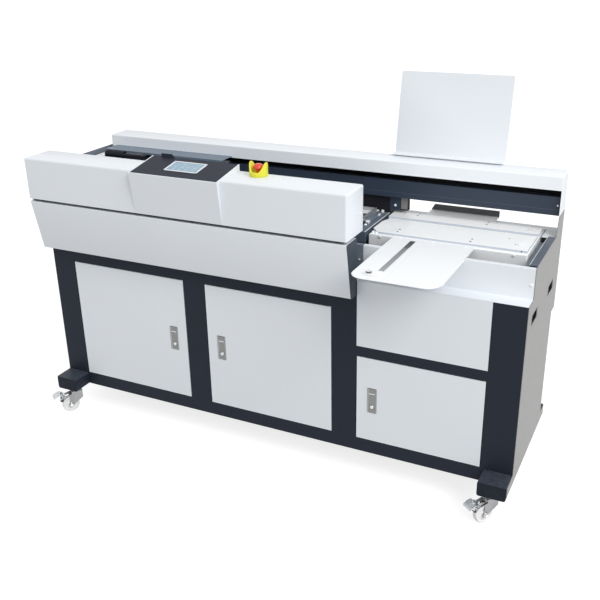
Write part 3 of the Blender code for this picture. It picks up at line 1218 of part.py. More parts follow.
def door(leaf, white):
    low = (leaf["start"] + DOOR_GAP, 0, DOOR_BOTTOM + DOOR_GAP)
    high = (leaf["end"] - DOOR_GAP, DOOR_DEPTH, leaf["head"] - DOOR_GAP)
    origin = (leaf["pivot"], DOOR_PIVOT_INSET, DOOR_BOTTOM)
    item = to_object(leaf["name"] + "_door", block(low, high), white, origin)
    wall = DOOR_SHEET
    reach = DOOR_PIVOT_INSET + DOOR_PIN_RADIUS
    cut(item, block((low[0] + wall, wall, low[2] + wall), (high[0] - wall, DOOR_DEPTH + OVERRUN, high[2] - wall)))
    half = LOCK_WIDTH / 2 + LOCK_CUP_WALL
    tall = LOCK_HEIGHT / 2 + LOCK_CUP_WALL
    x, z = leaf["lock"], leaf["lock_z"]
    join(item, block((x - half, wall / 2, z - tall), (x + half, LOCK_CUP_DEPTH, z + tall)))
    cut(item, block((x - LOCK_WIDTH / 2, -OVERRUN, z - LOCK_HEIGHT / 2),
                    (x + LOCK_WIDTH / 2, LOCK_CUP_DEPTH - LOCK_CUP_WALL, z + LOCK_HEIGHT / 2)))
    cut(item, rod(LEVER_PIN_RADIUS + RUNNING, (x, LEVER_PIVOT_DEPTH, lever_pivot_z(leaf)), -half - OVERRUN,
                  half + OVERRUN, "X"))
    cut(item, rod(LOCK_STEM_RADIUS + RUNNING, (x, 0, lock_button_z(leaf)), wall, LOCK_CUP_DEPTH + OVERRUN, "Y"))
    for sense, edge in ((-1, low[2]), (1, high[2])):
        tip = edge + sense * (DOOR_GAP + DOOR_PIN_LENGTH)
        boss = edge - sense * reach
        join(item, rod(DOOR_PIN_RADIUS, (leaf["pivot"], DOOR_PIVOT_INSET, 0), min(tip, boss), max(tip, boss)))
    return item


def lever_pivot_z(leaf):
    return leaf["lock_z"] + LOCK_HEIGHT / 2 - LEVER_PIVOT_DROP


def lock_button_z(leaf):
    return leaf["lock_z"] - LOCK_HEIGHT / 2 + LOCK_BUTTON_HEIGHT


def lock_lever(leaf, chrome):
    x, z = leaf["lock"], leaf["lock_z"]
    half = LOCK_WIDTH / 2 - LOCK_CLEARANCE
    top = z + LOCK_HEIGHT / 2 - 2 * LOCK_CLEARANCE
    bottom = z - LOCK_HEIGHT / 2 + LOCK_CLEARANCE
    origin = (x, LEVER_PIVOT_DEPTH, lever_pivot_z(leaf))
    outline = rounded_outline([(x - half, bottom, SHEET), (x + half, bottom, SHEET), (x + half, top, SHEET),
                               (x - half, top, SHEET)], 2)
    item = to_object(leaf["name"] + "_lock_lever", prism(outline, "Y", 0, LEVER_THICKNESS), chrome, origin)
    grip = LOCK_WIDTH / 2 + LOCK_CUP_WALL / 2
    join(item, rod(LEVER_PIN_RADIUS, (x, LEVER_PIVOT_DEPTH, origin[2]), -grip, grip, "X"))
    return cut(item, rod(LOCK_BUTTON_RADIUS + 2 * RUNNING, (x, 0, lock_button_z(leaf)), -OVERRUN,
                         LEVER_THICKNESS + OVERRUN, "Y", BUTTON_STEPS))


def lock_button(leaf, chrome):
    z = lock_button_z(leaf)
    floor = LOCK_CUP_DEPTH - LOCK_CUP_WALL
    shoulder = floor - LOCK_BUTTON_TRAVEL - SEAT
    front = -LOCK_BUTTON_PROUD
    profile = [(0, front), (LOCK_BUTTON_RADIUS - LOCK_CLEARANCE, front), (LOCK_BUTTON_RADIUS, front + LOCK_CLEARANCE),
               (LOCK_BUTTON_RADIUS, shoulder), (LOCK_STEM_RADIUS, shoulder), (LOCK_STEM_RADIUS, LOCK_CUP_DEPTH),
               (0, LOCK_CUP_DEPTH)]
    origin = (leaf["lock"], 0, z)
    return smooth(to_object(leaf["name"] + "_lock_button", turned(profile, origin, "Y", BUTTON_STEPS), chrome, origin))


def power_inlet(black):
    y = CABINET_DEPTH
    inner_x, inner_z = INLET_WIDTH / 2 - SEAT, INLET_HEIGHT / 2 - SEAT
    item = to_object("power_inlet", block((INLET_X - inner_x, y - INLET_DEPTH, INLET_Z - inner_z),
                                          (INLET_X + inner_x, y + SHEET, INLET_Z + inner_z)), black)
    join(item, block((INLET_X - inner_x - INLET_FLANGE, y + SEAT, INLET_Z - inner_z - INLET_FLANGE),
                     (INLET_X + inner_x + INLET_FLANGE, y + SEAT + SHEET, INLET_Z + inner_z + INLET_FLANGE)))
    cut(item, block((INLET_X - inner_x + INLET_WALL, y - INLET_DEPTH + INLET_WALL, INLET_Z - inner_z + INLET_WALL),
                    (INLET_X + inner_x - INLET_WALL, y + SHEET + OVERRUN, INLET_Z + inner_z - INLET_WALL)))
    for step in (-1, 0, 1):
        join(item, rod(INLET_PIN_RADIUS, (INLET_X + step * INLET_PIN_PITCH, y, INLET_Z),
                       -INLET_DEPTH + INLET_WALL / 2, 0, "Y", 8))
    return item


# Casters: each is drawn heading along +X from its swivel axis, then turned to its heading

def turn_about(item, swivel, heading):
    """Turn a caster piece and its cutters about the swivel axis to its heading."""
    turn = Matrix.Rotation(math.radians(heading), 4, "Z")
    place = swivel + turn @ (Vector((item.location.x, item.location.y, 0)) - swivel)
    tools = [modifier.object for modifier in item.modifiers if modifier.type == "BOOLEAN"]
    for each in [item] + tools:
        each.location = (place.x, place.y, each.location.z)
        each.rotation_euler = (0, 0, math.radians(heading))


def arm_height(along):
    """Height of the top of a brake arm, a distance from the swivel axis."""
    share = (along - ARM_START) / (ARM_END - ARM_START)
    return ARM_START_HEIGHT + (ARM_END_HEIGHT - ARM_START_HEIGHT) * share


def fork_leg_outline(braked):
    """A leg of the fork in (x, z): broad under the swivel, round at the axle, with an arm for the brake."""
    top = CASTER_HEIGHT - CASTER_PLATE - SEAT - SWIVEL_HEIGHT
    axle = (CASTER_TRAIL, WHEEL_RADIUS)
    outline = [(-LEG_BACK, top), (-LEG_BACK, LEG_BACK_LOW)]
    for step in range(9):
        angle = math.radians(225 + 170 * step / 8)
        outline.append((axle[0] + LEG_TIP_RADIUS * math.cos(angle), axle[1] + LEG_TIP_RADIUS * math.sin(angle)))
    outline.append((LEG_FRONT, LEG_FRONT_LOW))
    if braked:
        outline += [(LEG_FRONT + SHEET, arm_height(LEG_FRONT) - ARM_DEPTH), (ARM_END, ARM_END_HEIGHT - ARM_DEPTH),
                    (ARM_END, ARM_END_HEIGHT)]
    else:
        outline.append((LEG_FRONT - SHEET, arm_height(LEG_FRONT) - ARM_DEPTH))
    return outline + [(ARM_START, ARM_START_HEIGHT), (ARM_START, top)]


def caster_fork(name, x, y, braked, zinc):
    origin = Vector((x, y, CASTER_HEIGHT))
    top = CASTER_HEIGHT - CASTER_PLATE - SEAT
    inner = WHEEL_WIDTH / 2 + FORK_GAP
    outer = inner + FORK_SHEET
    swivel = [(0, top - SWIVEL_HEIGHT), (SWIVEL_RADIUS - 2 * SHEET, top - SWIVEL_HEIGHT),
              (SWIVEL_RADIUS, top - SWIVEL_HEIGHT / 2), (SWIVEL_RADIUS - SHEET, top),
              (SWIVEL_PIN_RADIUS, top), (SWIVEL_PIN_RADIUS, top + 2 * CASTER_PLATE), (0, top + 2 * CASTER_PLATE)]
    item = to_object(name, turned(swivel, (x, y, 0)), zinc, origin)
    bridge = top - SWIVEL_HEIGHT
    join(item, block((x - LEG_BACK, y - outer, bridge - BRIDGE_THICKNESS),
                     (x + ARM_START, y + outer, bridge + SHEET / 2)))
    outline = [(x + along, height) for along, height in fork_leg_outline(braked)]
    flange = bent_sheet([(x + ARM_START, ARM_START_HEIGHT), (x + ARM_END, ARM_END_HEIGHT)], -FORK_SHEET)
    for side in (-1, 1):
        join(item, prism(outline, "Y", min(y + side * inner, y + side * outer), max(y + side * inner, y + side * outer)))
        if braked:
            edge = y + side * (outer + ARM_FLANGE)
            middle = y + side * (outer - FORK_SHEET / 2)
            join(item, prism(flange, "Y", min(middle, edge), max(middle, edge)))
    washer = outer + WASHER_THICKNESS
    nut = outer + AXLE_NUT_HEIGHT
    half = [(0, nut)]
    for step in range(1, DOME_STEPS + 1):
        angle = math.pi / 2 * step / DOME_STEPS
        half.append((AXLE_NUT_RADIUS * math.sin(angle), nut - AXLE_NUT_RADIUS * (1 - math.cos(angle)) * NUT_DOME_SHARE))
    half += [(AXLE_NUT_RADIUS, washer), (WASHER_RADIUS, washer), (WASHER_RADIUS, outer - FORK_SHEET / 2),
             (AXLE_RADIUS, outer - FORK_SHEET / 2)]
    profile = [(radius, -height) for radius, height in half] + list(reversed(half))
    join(item, turned(profile, (x + CASTER_TRAIL, y, WHEEL_RADIUS), "Y"))
    if braked:
        pivot = (x + PEDAL_PIVOT, y, PEDAL_PIVOT_HEIGHT)
        cut(item, rod(PEDAL_PIN_RADIUS + RUNNING, pivot, -outer - ARM_FLANGE - OVERRUN,
                      outer + ARM_FLANGE + OVERRUN, "Y"))
    return item


def caster_wheel(name, x, y, nylon):
    half = WHEEL_WIDTH / 2
    rim = WHEEL_RADIUS - WHEEL_CROWN
    hub = WHEEL_HUB_RADIUS
    bore = AXLE_RADIUS + RUNNING
    profile = [(bore, -half), (hub, -half), (hub + SHEET, -half + WHEEL_DISH),
               (rim - CORNER, -half + WHEEL_DISH), (rim, -half), (WHEEL_RADIUS - SHEET / 2, -half + WHEEL_CROWN),
               (WHEEL_RADIUS, 0), (WHEEL_RADIUS - SHEET / 2, half - WHEEL_CROWN), (rim, half),
               (rim - CORNER, half - WHEEL_DISH), (hub + SHEET, half - WHEEL_DISH), (hub, half),
               (bore, half)]
    axle = (x + CASTER_TRAIL, y, WHEEL_RADIUS)
    return smooth(to_object(name, turned(profile, axle, "Y"), nylon, axle))


def brake_pedal(name, x, y, zinc):
    pivot = (x + PEDAL_PIVOT, y, PEDAL_PIVOT_HEIGHT)
    half = WHEEL_WIDTH / 2
    wing = PEDAL_WIDTH / 2
    line = [(x + PEDAL_START, PEDAL_START_HEIGHT), (x + PEDAL_CREST, PEDAL_CREST_HEIGHT),
            (x + PEDAL_SLOPE_START, PEDAL_SLOPE_HEIGHT), (x + PEDAL_REACH - PEDAL_LIP, PEDAL_TIP_HEIGHT),
            (x + PEDAL_REACH, PEDAL_LIP_HEIGHT)]
    item = to_object(name, prism(bent_sheet(line, -PEDAL_THICKNESS), "Y", y - wing, y + wing), zinc, pivot)
    low, high = PEDAL_LIP_HEIGHT - PEDAL_THICKNESS - OVERRUN, PEDAL_CREST_HEIGHT + OVERRUN
    tip = x + PEDAL_REACH + OVERRUN
    for side in (-1, 1):
        ends = sorted((y + side * half, y + side * (wing + OVERRUN)))
        cut(item, block((x + PEDAL_START - OVERRUN, ends[0], low), (x + PEDAL_WING_START, ends[1], high)))
        cut(item, prism([(tip, y + side * (wing + OVERRUN)), (tip, y + side * (wing - PEDAL_CORNER)),
                         (tip - PEDAL_CORNER - OVERRUN, y + side * (wing + OVERRUN))], "Z", low, high))
    pin = half + FORK_GAP + FORK_SHEET / 2
    join(item, block((pivot[0] - PEDAL_HUB, y - half + SHEET, pivot[2]),
                     (pivot[0] + PEDAL_HUB, y + half - SHEET, PEDAL_START_HEIGHT + PEDAL_THICKNESS / 2)))
    join(item, rod(PEDAL_PIN_RADIUS, pivot, -pin, pin, "Y"))
    boss = (x + PEDAL_BOSS, y, PEDAL_CREST_HEIGHT)
    join(item, rod(PEDAL_BOSS_RADIUS, boss, -PEDAL_THICKNESS, PEDAL_BOSS_HEIGHT / 2))
    cut(item, rod(PEDAL_DOT_RADIUS, boss, -PEDAL_BOSS_HEIGHT / 2, OVERRUN))
    angle = math.radians(PAD_ANGLE)
    inside = WHEEL_RADIUS + PAD_CLEARANCE
    outside = inside + PAD_THICKNESS
    pad = [(x + CASTER_TRAIL + reach * math.cos(angle) - along * math.sin(angle),
            WHEEL_RADIUS + reach * math.sin(angle) + along * math.cos(angle))
           for reach, along in ((inside, -PAD_LENGTH / 2), (outside, -PAD_LENGTH / 2), (outside, PAD_LENGTH / 2),
                                (inside, PAD_LENGTH / 2))]
    width = half - SHEET
    join(item, prism(pad, "Y", y - width, y + width))
    hang = x + CASTER_TRAIL + (inside + outside) / 2 * math.cos(angle)
    middle = WHEEL_RADIUS + (inside + outside) / 2 * math.sin(angle)
    return join(item, block((hang - SHEET, y - width + SHEET, middle),
                            (hang + PAD_HANGER - SHEET, y + width - SHEET, PEDAL_SLOPE_HEIGHT - PEDAL_THICKNESS / 2)))


# Assembly

def build():
    clear_scene()
    machine = bpy.data.objects.new("machine", None)
    machine.location = (-CENTRE_X, FRONT_Y, 0)
    bpy.context.scene.collection.objects.link(machine)

    white = finish("white_paint", (0.86, 0.88, 0.90), 0.45)
    dark = finish("dark_paint", (0.03, 0.032, 0.042), 0.5)
    slate = finish("slate_paint", (0.12, 0.15, 0.19), 0.5)
    grey = finish("grey_paint", (0.40, 0.40, 0.39), 0.5)
    steel = finish("steel", (0.55, 0.56, 0.58), 0.35, 1.0)
    chrome = finish("chrome", (0.80, 0.80, 0.82), 0.2, 1.0)
    zinc = finish("zinc", (0.62, 0.63, 0.65), 0.35, 1.0)
    aluminium = finish("aluminium", (0.70, 0.71, 0.72), 0.4, 1.0)
    nylon = finish("nylon", (0.82, 0.82, 0.78), 0.5)
    black = finish("black_plastic", (0.02, 0.02, 0.02), 0.5)
    console = finish("console_plastic", (0.05, 0.055, 0.07), 0.45)
    display = finish("display", (0.35, 0.52, 0.66), 0.15)
    yellow = finish("yellow_plastic", (0.80, 0.76, 0.04), 0.4)
    red = finish("red_plastic", (0.65, 0.06, 0.02), 0.35)

    cabinet_frame(dark)
    left_side_panel(grey)
    right_side_panel(grey)
    back_panel(white)
    cabinet_floor(dark)
    foot("left_foot", INNER_LEFT, LEFT_CASTER_X, dark)
    foot("right_foot", INNER_RIGHT - FOOT_WIDTH, RIGHT_CASTER_X, dark)
    fixed_front_panel(white)
    ledge_wall(white)
    front_apron(slate)
    machine_deck(slate)
    side_rail(slate)
    front_cover(white)
    lower_front_panel(white)
    console_housing(white)
    console_panel(console)
    touch_screen(display)
    rear_cover(white)
    document_board(white)
    estop_guard(yellow)
    estop_button(red)
    guide_beam(slate)
    guide_rail(steel)
    beam_post(steel)
    lift_guide(steel)
    table_box(white)
    nip_plate("front_nip_plate", FRONT_NIP_START, FRONT_NIP_DEPTH, True, white)
    nip_plate("rear_nip_plate", REAR_NIP_START, REAR_NIP_DEPTH, False, white)
    cover_tray(white)
    tray_rule(steel)
    tray_stop(white)
    stop_knob(chrome)
    rear_tray(white)
    clamp_carriage(steel)
    clamp_jaw(slate)
    clamp_motor(black)
    milling_motor(grey)
    milling_cutter(steel)
    glue_tank(aluminium)
    glue_roller(steel)
    power_inlet(black)
    for leaf in DOORS:
        door(leaf, white)
        lock_lever(leaf, steel)
        lock_button(leaf, chrome)
    for side, x in (("left", LEFT_CASTER_X), ("right", RIGHT_CASTER_X)):
        for end, y in (("front", -FRONT_CASTER_Y), ("rear", REAR_CASTER_Y)):
            place = end + "_" + side
            turn = (Vector((x, y, 0)), CASTER_HEADINGS[place])
            turn_about(caster_fork(place + "_caster_fork", x, y, end == "front", zinc), *turn)
            turn_about(caster_wheel(place + "_caster_wheel", x, y, nylon), *turn)
            if end == "front":
                turn_about(brake_pedal(place + "_brake_pedal", x, y, zinc), *turn)


build()
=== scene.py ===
import json
from functools import partialmethod
from math import atan2, cos, degrees, pi, radians, sin

import bmesh
import bpy
from mathutils import Matrix, Vector

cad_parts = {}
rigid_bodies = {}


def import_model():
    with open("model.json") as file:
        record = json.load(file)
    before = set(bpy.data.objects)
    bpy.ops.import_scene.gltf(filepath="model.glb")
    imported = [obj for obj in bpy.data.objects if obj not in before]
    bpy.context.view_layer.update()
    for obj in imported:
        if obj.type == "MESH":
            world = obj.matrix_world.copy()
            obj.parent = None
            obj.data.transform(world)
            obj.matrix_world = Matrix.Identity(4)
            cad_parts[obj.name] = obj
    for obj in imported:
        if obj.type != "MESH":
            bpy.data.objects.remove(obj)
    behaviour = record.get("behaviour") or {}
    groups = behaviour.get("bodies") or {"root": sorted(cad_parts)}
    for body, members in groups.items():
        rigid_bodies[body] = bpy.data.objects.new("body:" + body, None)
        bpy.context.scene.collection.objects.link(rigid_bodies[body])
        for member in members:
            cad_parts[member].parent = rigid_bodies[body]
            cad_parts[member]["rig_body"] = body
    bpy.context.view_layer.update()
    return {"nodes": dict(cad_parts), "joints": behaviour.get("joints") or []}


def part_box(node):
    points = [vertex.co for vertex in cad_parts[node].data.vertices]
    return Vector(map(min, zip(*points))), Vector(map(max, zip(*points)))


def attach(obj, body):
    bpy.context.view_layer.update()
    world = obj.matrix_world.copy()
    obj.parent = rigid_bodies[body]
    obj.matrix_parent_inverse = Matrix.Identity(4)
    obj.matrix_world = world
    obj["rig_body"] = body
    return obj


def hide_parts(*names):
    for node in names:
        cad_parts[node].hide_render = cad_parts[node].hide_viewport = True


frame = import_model()

# The cabinet's face frame is welded from square steel tube, with a sheet floor and partition behind
# it and a long square tube under each end. All of it is powder coated near black, which dries to a
# fine pebbled skin.
left_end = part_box("left_side_panel")[0].x
door_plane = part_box("fixed_front_panel")[0].y


def at(along, back, up):
    """A place measured from the machine's left end, the plane of its doors, and the floor."""
    return Vector((left_end + along, door_plane + back, up))


class Shade:
    """A number or a colour on its way through a material's nodes."""

    def __init__(self, tree, socket):
        self.tree = tree
        self.socket = socket

    def maths(self, operation, other=0.0, swapped=False):
        """Put this shade and another value, in either order, through a maths node."""
        node = self.tree.nodes.new("ShaderNodeMath")
        node.operation = operation
        for place, value in enumerate((other, self) if swapped else (self, other)):
            fill(self.tree, node.inputs[place], value)
        return Shade(self.tree, node.outputs[0])

    __add__ = __radd__ = partialmethod(maths, "ADD")
    __sub__ = partialmethod(maths, "SUBTRACT")
    __rsub__ = partialmethod(maths, "SUBTRACT", swapped=True)
    __mul__ = __rmul__ = partialmethod(maths, "MULTIPLY")
    __truediv__ = partialmethod(maths, "DIVIDE")
    __gt__ = partialmethod(maths, "GREATER_THAN")
    __lt__ = partialmethod(maths, "LESS_THAN")
    __mod__ = partialmethod(maths, "FLOORED_MODULO")
    __abs__ = partialmethod(maths, "ABSOLUTE")
    at_least = partialmethod(maths, "MAXIMUM")
    at_most = partialmethod(maths, "MINIMUM")


def fill(tree, socket, value):
    """Link a shade to a socket, or set a plain value on it."""
    if isinstance(value, Shade):
        tree.links.new(value.socket, socket)
    elif socket.type == "RGBA" and len(value) == 3:
        socket.default_value = (*value, 1.0)
    else:
        socket.default_value = value


class Finish:
    """A material that is built up on Blender's own surface shader."""

    def __init__(self, name, **sockets):
        self.material = bpy.data.materials.new(name)
        self.material.use_nodes = True
        self.tree = self.material.node_tree
        self.surface = self.tree.nodes["Principled BSDF"]
        self.set(**sockets)

    def set(self, **sockets):
        for name, value in sockets.items():
            fill(self.tree, self.surface.inputs[name.replace("_", " ")], value)

    def node(self, kind, sockets=None, output=0, **settings):
        node = self.tree.nodes.new("ShaderNode" + kind)
        for name, value in settings.items():
            setattr(node, name, value)
        for name, value in (sockets or {}).items():
            fill(self.tree, node.inputs[name], value)
        return Shade(self.tree, node.outputs[output])

    def place(self):
        """The point being shaded, in metres."""
        return self.node("TexCoord", output="Object")

    def part(self, axis, whole=None):
        """One coordinate of the point being shaded, or of another vector."""
        return self.node("SeparateXYZ", {"Vector": whole or self.place()}, axis)

    def noise(self, scale, detail=2.0, stretch=None):
        where = self.place()
        if stretch:
            where = self.node("Mapping", {"Vector": where, "Scale": stretch})
        return self.node("TexNoise", {"Vector": where, "Scale": scale, "Detail": detail})

    def blend(self, share, first, second):
        """A colour between two colours, whose sockets on the node are the seventh and eighth."""
        node = self.tree.nodes.new("ShaderNodeMix")
        node.data_type = "RGBA"
        for place, value in ((0, share), (6, first), (7, second)):
            fill(self.tree, node.inputs[place], value)
        return Shade(self.tree, node.outputs[2])

    def bump(self, height, distance, strength=1.0, under=None):
        sockets = {"Height": height, "Distance": distance, "Strength": strength}
        if under:
            sockets["Normal"] = under
        return self.node("Bump", sockets)

    def grain(self, scale, depth, strength, detail=2.0):
        """An even grain all over the surface."""
        self.set(Normal=self.bump(self.noise(scale, detail), depth, strength))

    def follow(self, pattern, low, high, smooth, spread, depth=0.0, strength=1.0):
        """Colour, roughness and, with a depth, relief that all follow one pattern."""
        self.set(Base_Color=self.blend(pattern, low, high), Roughness=smooth + spread * pattern)
        if depth:
            self.set(Normal=self.bump(pattern, depth, strength))

    def tint(self, share, colour):
        """Lay a second colour over the one that the surface already has."""
        present = self.surface.inputs["Base Color"].links[0].from_socket
        self.set(Base_Color=self.blend(share, Shade(self.tree, present), colour))


def powder_coat(name, colour, roughness, dust_and_sheen=0.0, gloss=0.45):
    """Baked powder paint: a faint drift of tone, a pebbled skin, and a bluish tint on upward faces,
    partly dust and partly painted sheen.
    """
    darker, lighter, dust_and_sheen_colour = 0.975, 1.02, (0.44, 0.51, 0.6)
    paint = Finish(name, Specular_IOR_Level=gloss)
    tone = paint.blend(paint.noise(2.3, 3.0), [c * darker for c in colour],
                       [min(c * lighter, 1.0) for c in colour])
    if dust_and_sheen:
        # Upward faces turn lighter and bluish: partly dust, partly a painted sheen of light from
        # above.
        upward = paint.part("Z", paint.node("NewGeometry", output="Normal")).at_least(0.0)
        tone = paint.blend(upward * dust_and_sheen * paint.noise(60.0, 4.0), tone, dust_and_sheen_colour)
    swell = paint.bump(paint.noise(55.0), 0.0004, 0.12)
    skin = paint.bump(paint.noise(1100.0, 1.0), 0.00003, 0.6, swell)
    paint.set(Base_Color=tone, Roughness=roughness - 0.05 + 0.1 * paint.noise(35.0, 4.0),
              Normal=skin)
    return paint


def linked(name, data):
    """A new object, put in the scene."""
    item = bpy.data.objects.new(name, data)
    bpy.context.scene.collection.objects.link(item)
    return item


def as_piece(name, mesh, node, finish, creases=32.0, replaced=True):
    """Put a mesh in the scene as a finished piece that moves with a CAD node's body."""
    coats = finish if isinstance(finish, list) else [finish]
    sides = [min(polygon.material_index, len(coats) - 1) for polygon in mesh.polygons]
    mesh.materials.clear()
    for coat in coats:
        mesh.materials.append(coat.material)
    mesh.polygons.foreach_set("material_index", sides)
    mesh.shade_smooth()
    mesh.set_sharp_from_angle(angle=radians(creases))
    piece = linked(name, mesh)
    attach(piece, frame["nodes"][node]["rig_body"])
    if replaced:
        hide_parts(node)
    return piece


def to_mesh(name, *shapes):
    """One mesh made of one or more shapes, which are used up."""
    whole = shapes[0]
    for shape in shapes[1:]:
        spare = bpy.data.meshes.new("spare")
        shape.to_mesh(spare)
        shape.free()
        whole.from_mesh(spare)
        bpy.data.meshes.remove(spare)
    mesh = bpy.data.meshes.new(name)
    whole.to_mesh(mesh)
    whole.free()
    return mesh


def new_piece(name, node, finish, *shapes, creases=32.0, replaced=False):
    """A piece made of new shapes, which joins a CAD node or stands in for its solid."""
    as_piece(name, to_mesh(name, *shapes), node, finish, creases, replaced)


def welded_copy(node):
    """A CAD node's solid with its loose triangles welded and its flat faces made whole."""
    shape = bmesh.new()
    shape.from_mesh(frame["nodes"][node].data)
    bmesh.ops.remove_doubles(shape, verts=shape.verts, dist=0.000002)
    bmesh.ops.dissolve_limit(shape, angle_limit=radians(0.3), verts=shape.verts,
                             edges=shape.edges)
    return shape


def soften(piece, edge, rounds=2):
    """Round the piece's sharp edges off."""
    bevel = piece.modifiers.new("softened edges", "BEVEL")
    bevel.width = edge
    bevel.segments = rounds
    bevel.limit_method = "ANGLE"
    bevel.angle_limit = radians(38)
    bevel.harden_normals = True


def dressed(node, finish, edge=0.0008, rounds=2, suffix="_sheet", creases=32.0, chosen=None,
            folds=None, bend=0.003):
    """A CAD node's own shape with softened edges and, at its folds, a bend; of several finishes,
    chosen says which a face has by its middle."""
    shape = welded_copy(node)
    if folds:
        bent = [each for each in shape.edges if folds((each.verts[0].co + each.verts[1].co) / 2)]
        bmesh.ops.bevel(shape, geom=bent, offset=bend, segments=5, profile=0.5, affect="EDGES")
    if chosen:
        for face in shape.faces:
            face.material_index = int(chosen(face.calc_center_median()))
    piece = as_piece(node + suffix, to_mesh(node + suffix, shape), node, finish, creases)
    if edge:
        soften(piece, edge, rounds)


near_black = powder_coat("near black powder coat", (0.017, 0.022, 0.034), 0.5, 0.12, 0.13)
for node in ("cabinet_frame", "cabinet_floor"):
    dressed(node, near_black, 0.0012)
for node in ("left_foot", "right_foot"):
    dressed(node, near_black, 0.0016, 3)

# The tubes under the ends are closed at the front by pressed-in plastic caps with a rounded rim, a
# little shinier than the paint round them.
cap_plastic = Finish("black moulded cap", Base_Color=(0.013, 0.017, 0.026), Roughness=0.45,
                     Specular_IOR_Level=0.12)
cap_plastic.grain(900.0, 0.00002, 0.7)


def walled(shape, rings, joined=False):
    """Faces from each ring of points to the next. The last ring meets the first, or else both ends
    are closed; a ring of one point is a tip."""
    loop = rings + rings[:1] if joined else rings
    for lower, upper in zip(loop, loop[1:]):
        count = max(len(lower), len(upper))
        for step in range(count):
            following = (step + 1) % count
            if len(lower) == 1:
                corners = lower[0], upper[step], upper[following]
            elif len(upper) == 1:
                corners = lower[step], lower[following], upper[0]
            else:
                corners = lower[step], lower[following], upper[following], upper[step]
            shape.faces.new(corners)
    for ring in () if joined else (rings[0], rings[-1]):
        if len(ring) > 1:
            shape.faces.new(ring)
    bmesh.ops.recalc_face_normals(shape, faces=shape.faces)
    return shape


def rounded_ring(shape, low, high, axis, corner, inset, depth, steps):
    """A ring of points round a box's outline along an axis, its corners rounded, moved inwards."""
    across, up, along = {"X": (1, 2, 0), "Y": (0, 2, 1), "Z": (0, 1, 2)}[axis]
    ring = []
    for quarter, (side, end) in enumerate(((1, 1), (-1, 1), (-1, -1), (1, -1))):
        middle_across = high[across] - corner if side > 0 else low[across] + corner
        middle_up = high[up] - corner if end > 0 else low[up] + corner
        for step in range(steps + 1):
            angle = pi / 2 * (quarter + step / steps)
            spot = [0.0, 0.0, 0.0]
            spot[across] = middle_across + (corner - inset) * cos(angle)
            spot[up] = middle_up + (corner - inset) * sin(angle)
            spot[along] = depth
            ring.append(shape.verts.new(spot))
    return ring


def rounded_plate(low, high, axis, corner, edge, steps=6):
    """A flat plate with rounded corners and softened edges, facing along one axis."""
    shape = bmesh.new()
    under, over = low["XYZ".index(axis)], high["XYZ".index(axis)]
    levels = ((edge, under), (0.0, under + edge), (0.0, over - edge), (edge, over))
    return walled(shape, [rounded_ring(shape, low, high, axis, corner, inset, depth, steps)
                          for inset, depth in levels])


tube_height = 0.0565
for side in ("left", "right"):
    low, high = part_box(side + "_foot")
    low.z = high.z - tube_height
    layers = []
    for margin, proud, sunk, corner, edge in (
            (0.003, 0.0016, 0.0002, 0.007, 0.0006), (0.012, 0.0021, 0.0014, 0.006, 0.0003)):
        layers.append(rounded_plate((low.x + margin, low.y - proud, low.z + margin),
                                    (high.x - margin, low.y - sunk, high.z - margin),
                                    "Y", corner, edge))
    new_piece(side + "_foot_cap", side + "_foot", cap_plastic, *layers)

# Sheet-steel sides close the cabinet, each with two pressed hand slots for moving the machine; the
# back is one folded sheet with louvre slots. The sides are mid grey, the back white, both powder
# coated.
side_grey = powder_coat("mid grey powder coat", (0.222, 0.22, 0.216), 0.4)
# Broad darker streaks on the grey are painted reflections.
side_grey.tint(side_grey.noise(3.2, 3.0, (1.0, 0.8, 2.2)) * 0.5, (0.185, 0.185, 0.185))
two_tone = powder_coat("grey coat with slate above", (0.305, 0.303, 0.298), 0.45)
two_tone.tint(two_tone.part("Z") > 0.93, (0.185, 0.218, 0.268))
white_coat = powder_coat("white powder coat", (0.785, 0.822, 0.862), 0.38)
sheet = 0.0015
dressed("right_side_panel", side_grey, 0.0005)
dressed("left_side_panel", [side_grey, two_tone], 0.0005,
        chosen=lambda middle: middle.x > left_end + sheet)
dressed("back_panel", white_coat, 0.0004)
slot_length, slot_bottom, slot_top, slot_corner = 0.082, 0.724, 0.758, 0.004
pressed_rim = ((0.0, 0.0), (-0.0022, 0.0006), (-0.0034, 0.0011), (-0.004, 0.0002))
for side, face, outwards in (("left", 0, -1), ("right", 1, 1)):
    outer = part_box(side + "_side_panel")[face].x
    for end, start in (("front", 0.068), ("rear", 0.349)):
        low, high = at(0, start, slot_bottom), at(0, start + slot_length, slot_top)
        shape = bmesh.new()
        rings = [rounded_ring(shape, low, high, "X", slot_corner, inset,
                              outer + outwards * reach, 5) for inset, reach in pressed_rim]
        new_piece(f"{side}_{end}_slot_rim", side + "_side_panel", side_grey,
                  walled(shape, rings, joined=True))

# Each foot rides on two swivel casters: a pressed zinc-plated fork with a rolled flange along its
# brake arm, a turned nylon wheel on a nutted axle, and at the front a stamped pedal that presses a
# rubber pad on the wheel.
zinc_plate = Finish("bright zinc plate", Metallic=1.0)
spangle = zinc_plate.node("TexVoronoi", {"Vector": zinc_plate.place(), "Scale": 160.0})
cloud = zinc_plate.noise(28.0, 4.0)
zinc_plate.set(Base_Color=zinc_plate.blend(cloud, (0.25, 0.265, 0.28), (0.44, 0.44, 0.44)),
               Roughness=0.22 + 0.16 * cloud + 0.05 * spangle)
zinc_plate.grain(420.0, 0.00003, 0.7, 3.0)
pale_zinc = Finish("pale zinc plate", Metallic=1.0)
pale_zinc.follow(pale_zinc.noise(40.0, 4.0), (0.5, 0.53, 0.56), (0.7, 0.72, 0.74), 0.2, 0.15)
pale_zinc.grain(420.0, 0.00003, 0.7, 3.0)
nylon = Finish("white nylon", Subsurface_Weight=0.12, Subsurface_Radius=(0.004, 0.004, 0.0035))
